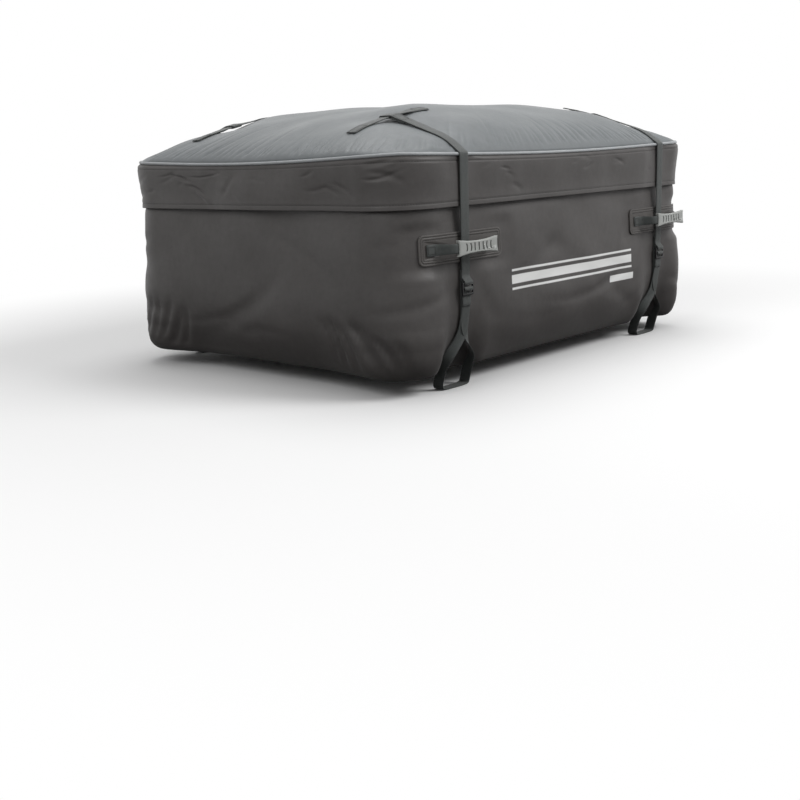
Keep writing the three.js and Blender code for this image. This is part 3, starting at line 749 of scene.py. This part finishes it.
# Places on the left wall: along the car, up the wall and out from it
def wall_out(z):
    """The wall where a strap presses on it"""
    line = wall_line()
    free = float(np.interp(z, line[:, 1], line[:, 0]))
    return free - float(at_height(z, STRAP_PRESS))


def placed(along, up, out, at):
    """The matrix that turns the axes to three directions and moves the origin to a place"""
    matrix = Matrix((along, up, out)).transposed().to_4x4()
    matrix.translation = Vector(at)
    return matrix


def wall_frame(z, y):
    up = Vector((wall_out(z + MM) - wall_out(z - MM), 0, 2 * MM)).normalized()
    along = Vector((0, 1, 0))
    return placed(along, up, along.cross(up), (bag().width / 2 + wall_out(z), y, z))


# Webbing
SECTION = [
    (-1, 0.30), (-0.985, 0.75), (-0.94, 1), (-0.4, 1), (0.4, 1), (0.94, 1), (0.985, 0.75),
    (1, 0.30), (1, -0.30), (0.985, -0.75), (0.94, -1), (0.4, -1), (-0.4, -1), (-0.94, -1),
    (-0.985, -0.75), (-1, -0.30),
]


def between(a, b, start, end, t):
    """A point on the line that is at a when t is start and at b when t is end"""
    return (end - t) / (end - start) * a + (t - start) / (end - start) * b


def drawn_through(stations, step):
    """Stations joined by a smooth line through every one of them"""
    at, side, width = (np.array(column, float) for column in zip(*stations))
    side = np.array([way / np.linalg.norm(way) for way in side])
    table = np.column_stack([at, side, width])
    table = np.vstack([2 * table[0] - table[1], table, 2 * table[-1] - table[-2]])
    line = []
    for k in range(1, len(table) - 2):
        p0, p1, p2, p3 = table[k - 1: k + 3]
        gaps = [
            max(np.linalg.norm(b[:3] - a[:3]), 1e-6) ** 0.5
            for a, b in ((p0, p1), (p1, p2), (p2, p3))
        ]
        t0, t1, t2 = 0, gaps[0], gaps[0] + gaps[1]
        t3 = t2 + gaps[2]
        pieces = max(1, int(np.linalg.norm(p2[:3] - p1[:3]) / step))
        for t in np.linspace(t1, t2, pieces, endpoint=False):
            a2 = between(p1, p2, t1, t2, t)
            b1 = between(between(p0, p1, t0, t1, t), a2, t0, t2, t)
            b2 = between(a2, between(p2, p3, t2, t3, t), t1, t3, t)
            line.append(between(b1, b2, t1, t2, t))
    line.append(table[-2])
    return np.array(line)


def webbing(stations):
    """A bmesh of webbing along stations (place, side direction, width)"""
    line = drawn_through(stations, 0.005)
    at, side, width = line[:, :3], unit_rows(line[:, 3:6]), line[:, 6]
    normal = unit_rows(np.cross(np.gradient(at, axis=0), side))
    length = distance_along(at)
    half = bag().web_thickness / 2
    section = np.array([*SECTION, SECTION[0]])
    count = len(line) - 1

    def form(u, v):
        row = np.rint(u * count).astype(int)
        corner = np.rint(v * (len(section) - 1)).astype(int)
        across = section[corner, 0] * width[row] / 2
        up = section[corner, 1] * half
        place = at[row] + side[row] * across[:, None] + normal[row] * up[:, None]
        return place, np.column_stack([length[row], across])

    bm = laid_grid(count, len(SECTION), form)
    bmesh.ops.holes_fill(bm, edges=[edge for edge in bm.edges if edge.is_boundary])
    return faced_out(bm)


def on_wall(place, along, up, out):
    return place @ Vector((along, up, out))


# How a piece of webbing lies on the lid
WIDTH_STEPS = [-0.52, -0.4, -0.27, -0.13, 0, 0.13, 0.27, 0.4, 0.52]


class LidSeat:
    """Heights of the finished lid, and the taut lines that lie on it"""

    def __init__(self):
        mesh = bpy.data.objects["lid_cloth"].data
        verts = [v.co for v in mesh.vertices]
        self.tree = BVHTree.FromPolygons(verts, [p.vertices for p in mesh.polygons])

    def top(self, x, y, sense):
        hit = self.tree.ray_cast(Vector((sense * x, y, 1)), Vector((0, 0, -1)))[0]
        return hit.z if hit else bag().rim

    def seat(self, x, y, dx, dy, sense):
        web = bag().web
        at = [(x + f * web * dx, y + f * web * dy) for f in WIDTH_STEPS]
        ends = [dome_height(*p) - rim_drop(*p) for p in (
            (x - dx * web / 2, y - dy * web / 2), (x + dx * web / 2, y + dy * web / 2))]
        slope = float(ends[1] - ends[0])
        heights = [self.top(*p, sense) - slope * f for p, f in zip(at, WIDTH_STEPS)]
        return max(heights), slope

    def handle_line(self, row, sense):
        size = bag()
        half = size.handle_length / 2
        points = []
        for k in range(49):
            y = row + half * (k / 24 - 1)
            height, slope = self.seat(size.handle_x, y, 1, 0, sense)
            lift = abs(slope) / 2 * levelled(y - row) + (size.handle_rise if k == 24 else 0)
            points.append((y, height + lift))
        return subdivided(taut_line(points, LIE + LOOSENESS), 0.012)

    def crossing(self, row, sense):
        line = self.handle_line(row, sense)
        ys, zs = line[:, 0], line[:, 1]
        web = bag().web
        slope = float(np.interp(row + web / 2, ys, zs) - np.interp(row - web / 2, ys, zs))
        lies = [np.interp(row + f * web, ys, zs) - slope * f for f in WIDTH_STEPS]
        return slope, max(lies), min(lies)


def levelled(away):
    size = bag()
    return 1 - float(smoothstep(abs(away), size.web, 0.35 * size.handle_length))


def moved_out(line, away):
    run = unit_rows(np.diff(line, axis=0))
    turned = np.column_stack([-run[:, 1], run[:, 0]])
    after = np.vstack([turned, turned[-1:]])
    normal = unit_rows(np.vstack([turned[:1], turned]) + after)
    return line + normal * (away / np.sum(normal * after, axis=1))[:, None]


def taut_line(points, away):
    """The outside of the points, the way a pulled strap lies, moved out by a distance"""
    line = [points[0]]
    at = 0
    while at < len(points) - 1:
        best = at + 1
        for k in range(at + 2, len(points)):
            to, other = (np.subtract(points[j], points[at]) for j in (best, k))
            if to[0] * other[1] - to[1] * other[0] >= 0:
                best = k
        line.append(points[best])
        at = best
    return moved_out(np.array(line, float), away)


def subdivided(line, longest):
    made = []
    for a, b in zip(line[:-1], line[1:]):
        parts = max(1, math.ceil(np.linalg.norm(b - a) / longest))
        made += [a + (b - a) * k / parts for k in range(parts)]
    return np.array([*made, line[-1]])


def top_handle(lid, row, sense):
    size = bag()
    stations = []
    for y, z in lid.handle_line(row, sense):
        slope = lid.seat(size.handle_x, y, 1, 0, sense)[1] * (1 - levelled(y - row))
        stations.append(((size.handle_x, y, z), (size.web, 0, slope), size.web))
    return stations


def lid_edge():
    """Where the lid ends at the rim, out from the middle"""
    return bag().width / 2 + LID_EDGE - 0.01 * MM


def strap_touches(lid, row, sense, top):
    """What a taut strap can touch from the top handle to the lock: out, up"""
    size = bag()
    half_x, thick = size.width / 2, size.web_thickness
    start = size.handle_x + size.web / 2
    points = [(size.handle_x - size.web / 2, top), (start, top)]
    edge = lid_edge()
    for k in range(1, 41):
        x = start + (edge - start) * k / 40
        room = thick + 2 * SEAM if x < size.handle_x + LOOP_SEWN else 0
        points.append((x, lid.seat(x, row, 0, 1, sense)[0] + LOOSENESS + room))
    rim = size.rim - float(rim_drop(half_x, row))
    for k in range(7):
        angle = math.radians(75 - 25 * k)
        points.append((
            half_x + PIPING_OUT + PIPING_RADIUS * math.cos(angle),
            rim + PIPING_RADIUS * math.sin(angle) + LOOSENESS,
        ))
    points.append((half_x + FLAP_SWELL, FLAP_MIDDLE))
    points.append((half_x + FLAP_LIFT, size.flap_foot))
    patch = wall_frame(PATCH_Z, row)
    for up in (size.patch_height / 2, -size.patch_height / 2):
        place = on_wall(patch, 0, up, SEAM + PATCH_CLOTH)
        points.append((place.x, place.z))
    lead = on_wall(wall_frame(LOCK_Z, row), 0, 0.040, 2 * (thick + SEAM))
    return [*points, (lead.x, lead.z)]


def upper_strap(lid, row, sense):
    size = bag()
    web, thick = size.web, size.web_thickness
    lock = wall_frame(LOCK_Z, row)
    slope, high, low = lid.crossing(row, sense)
    inner, outer_edge = size.handle_x - web / 2, size.handle_x + web / 2
    top = high + thick / 2
    outer = taut_line(strap_touches(lid, row, sense, top), LIE)
    a, b = outer[1], outer[2]
    fall = (b - a) / np.linalg.norm(b - a)
    last = a + fall * (size.handle_x + LOOP_SEWN - a[0]) / fall[0]
    last = last + np.array([fall[1], -fall[0]]) * (thick + SEAM)
    under = low - thick / 2 - LIE
    middle = (top + LIE + under) / 2
    wrap = middle - under
    tilt = (0, web, slope)
    stations = [((x, row, z), tilt, web) for x, z in (last, (outer_edge, under), (inner, under))]
    for k in range(1, 6):
        angle = -math.pi / 2 - math.pi * k / 6
        place = (inner + wrap * math.cos(angle), row, middle + wrap * math.sin(angle))
        stations.append((place, tilt, web))
    edge = lid_edge()
    for x, z in subdivided(outer, 0.012):
        lean = lid.seat(x, row, 0, 1, sense)[1] if x < edge else 0.0
        lean = slope if x <= outer_edge + MM else lean
        stations.append(((x, row, z), (0, web, lean), web))
    return stations + lock_stations(lock, web, [
        (0.022, LIE + 2 * (thick + SEAM)),
        *round_bar(11 * MM),
        (0.023, LIE + thick + SEAM),
        (0.038, LIE + thick + SEAM),
    ])


def round_bar(up):
    """Webbing folded over a bar of the ladder-lock, seen from its side"""
    reach = LOCK_BAR / 2 + LIE
    turns = [math.radians(90 - 45 * k) for k in range(5)]
    around = [(up - reach * math.cos(a), LOCK_STAND + reach * math.sin(a)) for a in turns]
    return [(up + 3 * MM, LOCK_STAND + reach), *around, (up + 3 * MM, LOCK_STAND - reach)]


def lock_stations(lock, web, path):
    return [(tuple(on_wall(lock, 0, up, out)), (0, 1, 0), web) for up, out in path]


def lower_strap(row):
    size = bag()
    web, half_x = size.web, size.width / 2
    thick = size.web_thickness
    lock = wall_frame(LOCK_Z, row)
    reach_bar = LOCK_BAR / 2 + LIE
    tail = LOCK_STAND - reach_bar
    load = tail - thick - SEAM
    stations = lock_stations(lock, web, [
        (-0.034, tail),
        (-0.012, tail),
        (-reach_bar, tail + 0.4 * MM),
        (-reach_bar * 1.05, LOCK_STAND),
        (-reach_bar * 0.75, LOCK_STAND + reach_bar * 0.85),
        (0, LOCK_STAND + reach_bar),
        (reach_bar * 0.75, LOCK_STAND + reach_bar * 0.85),
        (reach_bar * 1.05, LOCK_STAND),
        (reach_bar * 0.8, load + 0.3 * MM),
        (-0.012, load),
        (-0.018, load),
        (-0.034, load),
    ])
    turns = [(104, 4), (84, 12), (64, 28), (46, 50), (28, 72), (10, 88)]
    reach = BAR_WIDTH / 2 + LIE + 0.5 * MM - SEAM

    def leg(sense):
        made = []
        for z, turn in turns:
            angle = math.radians(turn)
            clear = wall_out(z * MM) + web / 2 * math.sin(angle) + 2.2 * MM
            x = max(half_x + clear, LOOP_X)
            x += 1.2 * MM * math.cos(angle) if sense < 0 else 0
            y = row + sense * reach * math.sin(angle) ** 1.5
            side = (math.sin(angle), -sense * math.cos(angle), 0)
            made.append(((x, y, z * MM), side, web))
        return made

    foot = -BAR_DEPTH - LIE - 0.5 * MM + SEAM
    bend = 6 * MM
    loop = [(-reach, foot + bend), (-reach + bend * 0.3, foot + bend * 0.3),
            (-reach + bend, foot)]
    stations += leg(-1)
    stations += [((LOOP_X, row + y, z), (1, 0, 0), web) for y, z in loop]
    stations += [((LOOP_X, row - y, z), (1, 0, 0), web) for y, z in reversed(loop)]
    stations += list(reversed(leg(1)))
    for up in (-0.034, 0.038):
        stations.append((tuple(on_wall(lock, 0, up, LIE)), (0, -1, 0), web))
    return stations


def side_handle(row):
    size = bag()
    place = wall_frame(PATCH_Z, row)
    flat = SEAM + PATCH_CLOTH + LIE
    end = size.grip_length / 2
    narrow, sewn = 0.018, 0.022
    half = [
        (-0.104, flat, sewn), (-0.084, flat, sewn),
        (-end - 0.0185, 0.0095, 0.021), (-end - 0.013, 0.021, 0.0195),
        (-end - 0.008, 0.0325, narrow), (-end - 0.001, HANDLE_STAND, narrow),
        (-end + 0.006, HANDLE_STAND, narrow), (-end / 2, HANDLE_STAND, narrow),
    ]
    path = [*half, *[(-a, o, w) for a, o, w in reversed(half)]]
    up = on_wall(place, 0, 1, 0) - on_wall(place, 0, 0, 0)
    return [(tuple(on_wall(place, a, 0, o)), tuple(up), w) for a, o, w in path]


class CARGOBAG_OT_webbing(bpy.types.Operator):
    """Make the top handles, straps and side handles of webbing"""

    bl_idname = "cargo_bag.webbing"
    bl_label = "Webbing"

    def execute(self, context):
        if "lid_cloth" not in bpy.data.objects:
            raise RuntimeError("the webbing lies on the lid, so make the bag body first")
        lid = LidSeat()
        for key, row, sense in corners():
            lines = {
                "top_handle": top_handle(lid, row, sense),
                "upper_strap": upper_strap(lid, row, sense),
                "lower_strap": lower_strap(row),
                "side_handle": side_handle(row),
            }
            for name, stations in lines.items():
                strap = webbing(stations)
                if name == "side_handle":
                    strap = round_corner(strap)
                strap = mirrored_mesh(strap, sense)
                kept(strap, f"{name}_webbing_{key}", "webbing", [f"{name}_{key}"])
        return {"FINISHED"}


# Patches, grips and ladder-locks, made on the left wall and mirrored for the right one
def patch_outline(u, inset):
    """The patch's edge, drawn in by a distance"""
    radius, least = PATCH_CORNER, 0.8 * MM
    w, h = bag().patch_length / 2 - radius, bag().patch_height / 2 - radius
    centres = np.array([[w, h], [-w, h], [-w, -h], [w, -h]])
    centre, out, _ = round_rectangle(u, centres, radius, 0)
    reach = np.maximum(radius - inset, least)
    extra = np.maximum(inset - radius + least, 0)
    return centre - np.sign(centre) * extra[:, None] + out * reach[:, None]


# The patch's rounded edges and two sewn rows: inset and height, in millimetres
PATCH_STEPS = [
    (0, 0.3), (0, 2.0), (0.3, 2.5), (0.9, 2.8), (3.4, 2.8), (4.2, 2.3), (4.6, 2.1),
    (5.0, 2.3), (5.6, 2.8), (8.6, 2.8), (9.2, 2.3), (9.6, 2.1), (10.0, 2.2), (11, 2.3),
    (13, 2.3),
]


def patch_form(u, v):
    steps = np.array(PATCH_STEPS) * MM
    count = len(steps) + 1
    row = np.rint(v * count)
    inset, height = steps[np.clip(row - 1, 0, len(steps) - 1).astype(int)].T
    share = np.where((row == 0) | (row == count), 0.0, 1.0)
    flat = patch_outline(u, inset) * share[:, None]
    return np.column_stack([flat, height]), flat + np.column_stack([inset, inset])


def rounded_solid(made, radius):
    """The solid's loose triangles joined again, with its edges rounded"""
    bmesh.ops.remove_doubles(made, verts=made.verts, dist=1e-6)
    sharp = [e for e in made.edges if e.calc_face_angle(0) > math.radians(35)]
    bmesh.ops.bevel(
        made, geom=sharp, offset=radius, offset_type="OFFSET", segments=3,
        profile=0.5, affect="EDGES", material=-1, clamp_overlap=False,
    )
    return faced_out(made)


# Each moulding's node, piece, edge radius, finish and slot
MOULDINGS = [
    ("side_grip", "grip_moulding", 0.6 * MM, "grip", "grip"),
    ("ladder_lock", "lock_moulding", 0.7 * MM, "moulding", "buckle"),
]
# The wall of the solids at each fitting: height, distance out, slope
SOLID_WALL = {
    "side_grip": (PATCH_Z, -7.6 * MM, 2.8 / 70),
    "ladder_lock": (LOCK_Z, -15.4 * MM, 10 / 72),
}


def fitting(kind, key, row, sense, radius):
    """A moulding of the solids with its edges rounded, set against the fuller wall"""
    made = bmesh.new()
    made.from_mesh(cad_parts[f"{kind}_{key}"].data)
    height, out, slope = SOLID_WALL[kind]
    up = Vector((slope, 0, 1)).normalized()
    along = Vector((0, 1, 0))
    solid = placed(along, up, along.cross(up), (bag().width / 2 + out, row, height))
    move = wall_frame(height, row) @ solid.inverted()
    mirror = Matrix.Scale(sense, 4, (1, 0, 0))
    bmesh.ops.transform(made, matrix=mirror @ move @ mirror, verts=made.verts)
    return rounded_solid(made, radius)


def round_corner(bm):
    """Bends what reaches past the straight wall round the corner"""
    cx, cy = corner_centre()
    for vert in bm.verts:
        x, y, z = vert.co
        past = abs(y) - cy
        if past > 0:
            angle, reach = past / bag().corner, x - cx
            y = math.copysign(cy + reach * math.sin(angle), y)
            vert.co = (cx + reach * math.cos(angle), y, z)
    return bm


def mirrored_mesh(bm, sense):
    if sense < 0:
        bmesh.ops.scale(bm, vec=(-1, 1, 1), verts=bm.verts)
        bmesh.ops.reverse_faces(bm, faces=bm.faces)
    return bm


# Stitching
def stitched(bm, line, faces_to, pitch=0.0042, closed=True):
    """Short threads along a line of points that lie on cloth facing the given way"""
    faces_to = np.broadcast_to(faces_to, line.shape)
    if closed:
        line = np.vstack([line, line[:1]])
        faces_to = np.vstack([faces_to, faces_to[:1]])
    at = distance_along(line)
    marks = np.linspace(0, at[-1], max(2, int(at[-1] / pitch)) + 1)
    for middle in (marks[:-1] + marks[1:]) / 2:
        ends = [middle - pitch * 0.34, middle + pitch * 0.34]
        a, b = (Vector([np.interp(e, at, c) for c in line.T]) for e in ends)
        out = Vector([np.interp(middle, at, c) for c in faces_to.T]).normalized()
        run = (b - a).normalized()
        side = out.cross(run).normalized()
        thread = bmesh.ops.create_cube(bm, size=1)["verts"]
        bmesh.ops.scale(bm, vec=((b - a).length, 0.0007, 0.0006), verts=thread)
        place = placed(run, side, run.cross(side), (a + b) / 2)
        bmesh.ops.transform(bm, matrix=place, verts=thread)


def ring_stitches(bm, form, v, lift):
    """A row of threads round the bag on a band of cloth"""
    u = np.linspace(0, 1, 900, endpoint=False)
    line, _ = form(u, np.full_like(u, v))
    out = outline(u)[1]
    out = np.column_stack([out, np.zeros(len(u))])
    stitched(bm, line + out * lift, out, 0.0055)


def patch_stitches(bm, inset, height):
    u = np.linspace(0, 1, 160, endpoint=False)
    flat = patch_outline(u, np.full_like(u, inset))
    stitched(bm, np.column_stack([flat, np.full(len(u), height)]), (0.0, 0, 1))


def box_stitches(bm, middle, length, width, height):
    """A sewn box at the end of webbing"""
    a, b = length / 2, width / 2
    box = [(-a, -b), (a, -b), (a, b), (-a, b), (-a, -b)]
    line = subdivided(np.array([(middle + x, y, height) for x, y in box]), 0.002)
    stitched(bm, line, (0.0, 0, 1), 0.0032, closed=False)


def webbing_stitches(bm, stations, keep):
    """Two rows of threads along webbing, and one across each end of them"""
    line = drawn_through(stations, 0.004)
    line = line[[keep(place) for place in line[:, :3]]]
    at, side = line[:, :3], unit_rows(line[:, 3:6])
    up = unit_rows(np.cross(np.gradient(at, axis=0), side))
    up = up * np.sign(up[:, 2:3])
    at = at + up * (bag().web_thickness / 2 + 0.1 * MM)
    reach = bag().web * 0.36
    for share in (-1, 1):
        stitched(bm, at + side * reach * share, up, 0.0036, closed=False)
    for k in (0, -1):
        across = np.linspace(-1, 1, 7)[:, None] * side[k] * reach + at[k]
        stitched(bm, across, up[k], 0.0036, closed=False)


class CARGOBAG_OT_stitching(bpy.types.Operator):
    """Make the threads on the patches, the handles' ends and the storm flap"""

    bl_idname = "cargo_bag.stitching"
    bl_label = "Stitching"

    def execute(self, context):
        size = bag()
        lid = LidSeat()
        on_webbing = SEAM + PATCH_CLOTH + LIE + size.web_thickness / 2 + 0.1 * MM
        for key, row, sense in corners():
            bm = bmesh.new()
            for inset in (4.6, 9.6):
                patch_stitches(bm, inset * MM, 2.2 * MM)
            for middle in (-0.0925, 0.0925):
                box_stitches(bm, middle, 0.016, 0.014, on_webbing)
            bmesh.ops.transform(bm, matrix=wall_frame(PATCH_Z, row), verts=bm.verts)
            bm = mirrored_mesh(round_corner(bm), sense)
            kept(bm, f"patch_threads_{key}", "thread")
            bm = bmesh.new()
            handle = top_handle(lid, row, sense)
            sewn = size.handle_length / 2 - 0.038
            webbing_stitches(bm, handle, lambda at: at[1] < row - sewn)
            webbing_stitches(bm, handle, lambda at: at[1] > row + sewn)
            strap = upper_strap(lid, row, sense)[8:]
            lap = size.handle_x + 0.018, size.handle_x + LOOP_SEWN - 0.002
            webbing_stitches(bm, strap, lambda at: lap[0] < at[0] < lap[1] and at[2] > size.rim)
            kept(mirrored_mesh(bm, sense), f"strap_threads_{key}", "thread")
        top = flap_top()
        for name, z in (("hem", size.flap_foot + HEM), ("seam", top - FLAP_SEAM)):
            bm = bmesh.new()
            ring_stitches(bm, flap_form, (top - z) / (top - size.flap_foot), 0.1 * MM)
            kept(bm, f"flap_{name}_threads", "thread")
        return {"FINISHED"}


class CARGOBAG_OT_fittings(bpy.types.Operator):
    """Make the side patches, moulded grips and ladder-locks"""

    bl_idname = "cargo_bag.fittings"
    bl_label = "Fittings"

    def execute(self, context):
        for key, row, sense in corners():
            patch = faced_out(laid_grid(200, len(PATCH_STEPS) + 1, patch_form))
            bmesh.ops.transform(patch, matrix=wall_frame(PATCH_Z, row), verts=patch.verts)
            patch = mirrored_mesh(round_corner(patch), sense)
            kept(patch, f"patch_cloth_{key}", "patch", [f"side_patch_{key}"])
            for kind, name, radius, look, slot in MOULDINGS:
                made = fitting(kind, key, row, sense, radius)
                made = kept(made, f"{name}_{key}", look, [f"{kind}_{key}"])
                made.data.set_sharp_from_angle(angle=math.radians(40))
        return {"FINISHED"}


HIDDEN_PARTS = {
    "flap": ("lid_band", "hinge_strip"),
    "moulding": ("zip_tape_upper", "zip_tape_lower", "zip_coil_upper", "zip_coil_lower"),
    "metal": ("zip_slider_left", "zip_slider_right", "pull_tab_left", "pull_tab_right"),
}


class CARGOBAG_OT_hidden_parts(bpy.types.Operator):
    """Give the zip and bands behind the storm flap their finishes"""

    bl_idname = "cargo_bag.hidden_parts"
    bl_label = "Zip and bands"

    def execute(self, context):
        for material, names in HIDDEN_PARTS.items():
            for part in (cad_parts[name] for name in names):
                if not part.material_slots:
                    part.data.materials.append(None)
                for slot in part.material_slots:
                    slot.material = finish(material)
        return {"FINISHED"}


# Stage
CAMERA_PLACE = (1.7682, -2.0104, 0.4388)
CAMERA_TURN = (42.7308, 12.9786, -2.156)
CAMERA_LENS = 1100.02 / 800 * 36


def camera_matrix():
    azimuth, pitch, roll = (math.radians(angle) for angle in CAMERA_TURN)
    forward = Vector((
        -math.sin(azimuth) * math.cos(pitch),
        math.cos(azimuth) * math.cos(pitch),
        -math.sin(pitch),
    ))
    right = Vector((math.cos(azimuth), math.sin(azimuth), 0))
    up = right.cross(forward)
    across = right * math.cos(roll) + up * math.sin(roll)
    upward = -right * math.sin(roll) + up * math.cos(roll)
    return placed(across, upward, -forward, CAMERA_PLACE)


def lamp(name, place, size, power):
    """A round soft lamp that faces the bag's middle"""
    light = bpy.data.lights.new(name, "AREA")
    light.shape = "DISK"
    light.size = size
    light.energy = power
    made = linked(name, light)
    made.location = place
    toward = Vector((0, 0, 0.3)) - Vector(place)
    made.rotation_euler = toward.to_track_quat("-Z", "Y").to_euler()


class CARGOBAG_OT_stage(bpy.types.Operator):
    """Make the floor, the studio light and the camera"""

    bl_idname = "cargo_bag.stage"
    bl_label = "Stage"

    def execute(self, context):
        scene = context.scene
        data = bpy.data.cameras.new("camera")
        data.lens = CAMERA_LENS
        data.sensor_width = 36
        data.clip_start, data.clip_end = 0.05, 100
        scene.camera = linked("camera", data)
        scene.camera.matrix_world = camera_matrix()

        bm = bmesh.new()
        bmesh.ops.create_circle(bm, segments=96, radius=14, cap_ends=True)
        bmesh.ops.translate(bm, verts=bm.verts, vec=(0, 0, FLOOR_Z))
        floor = meshed(bm, "floor")
        floor.data.materials.append(floor_material())

        world = bpy.data.worlds.new("studio")
        world.use_nodes = True
        tree = world.node_tree
        tree.nodes.clear()
        seen, light = (
            node(tree, "ShaderNodeBackground", {"Color": (1, 1, 1, 1), "Strength": strength})
            for strength in (1.0, 0.38)
        )
        rays, shown = seen_rays(tree)
        shown = sum_of(tree, "MAXIMUM", shown, rays["Is Transmission Ray"])
        mix = node(tree, "ShaderNodeMixShader", {0: shown, 1: light.outputs[0], 2: seen.outputs[0]})
        end = node(tree, "ShaderNodeOutputWorld")
        tree.links.new(mix.outputs[0], end.inputs[0])
        scene.world = world

        lamp("top_light", (-0.4, 0.3, 3.2), 2.4, 38)
        lamp("side_light", (2.7, 1.0, 2.3), 1.8, 66)
        lamp("front_light", (0.5, -3.0, 2.1), 2.0, 24)
        scene.view_settings.view_transform = "Standard"
        return {"FINISHED"}


def seen_rays(tree):
    """The light path, and 1 for what the camera or a glossy surface sees"""
    rays = node(tree, "ShaderNodeLightPath").outputs
    return rays, sum_of(tree, "MAXIMUM", rays["Is Camera Ray"], rays["Is Glossy Ray"])


def floor_material():
    """Pale floor that keeps the shadow near the bag and runs out to white"""
    material, tree, shader, place = finish_of("pale_floor", 0.9, 0.1)
    away = node(tree, "ShaderNodeVectorMath", {0: place}, operation="LENGTH").outputs["Value"]
    far = ranged(tree, away, 0.9, 1.9, interpolation_type="SMOOTHSTEP")
    rays, shown = seen_rays(tree)
    tone = mixed(tree, rays["Is Camera Ray"], (0.10, 0.10, 0.10, 1), (0.9, 0.9, 0.9, 1))
    tree.links.new(tone, shader.inputs["Base Color"])
    white = node(tree, "ShaderNodeEmission", {"Color": (1, 1, 1, 1), "Strength": 1.0})
    share = sum_of(tree, "MULTIPLY", far, shown)
    mix = node(tree, "ShaderNodeMixShader", {0: share, 1: shader.outputs[0], 2: white.outputs[0]})
    tree.links.new(mix.outputs[0], tree.nodes["Material Output"].inputs[0])
    return material


class CARGOBAG_PT_panel(bpy.types.Panel):
    """Lists the bag's pieces, sizes and colours"""

    bl_idname = "CARGOBAG_PT_panel"
    bl_label = "Cargo bag"
    bl_space_type = "VIEW_3D"
    bl_region_type = "UI"
    bl_category = "Cargo bag"

    def draw(self, context):
        for operator in OPERATORS:
            self.layout.operator(operator.bl_idname)
        for group in (context.scene.cargo_bag_sizes, context.scene.cargo_bag_colours):
            for name in group.bl_rna.properties.keys():
                if name not in ("rna_type", "name"):
                    self.layout.prop(group, name)


OPERATORS = (
    CARGOBAG_OT_body,
    CARGOBAG_OT_webbing,
    CARGOBAG_OT_fittings,
    CARGOBAG_OT_stitching,
    CARGOBAG_OT_hidden_parts,
    CARGOBAG_OT_stage,
)
CLASSES = (CargoBagSizes, CargoBagColours, *OPERATORS, CARGOBAG_PT_panel)


def register():
    for cls in CLASSES:
        bpy.utils.register_class(cls)
    bpy.types.Scene.cargo_bag_sizes = PointerProperty(type=CargoBagSizes)
    bpy.types.Scene.cargo_bag_colours = PointerProperty(type=CargoBagColours)


def unregister():
    del bpy.types.Scene.cargo_bag_colours
    del bpy.types.Scene.cargo_bag_sizes
    for cls in reversed(CLASSES):
        bpy.utils.unregister_class(cls)


def main():
    register()
    bpy.ops.cargo_bag.body()
    bpy.ops.cargo_bag.webbing()
    bpy.ops.cargo_bag.fittings()
    bpy.ops.cargo_bag.stitching()
    bpy.ops.cargo_bag.hidden_parts()
    bpy.ops.cargo_bag.stage()


if __name__ == "__main__":
    main()
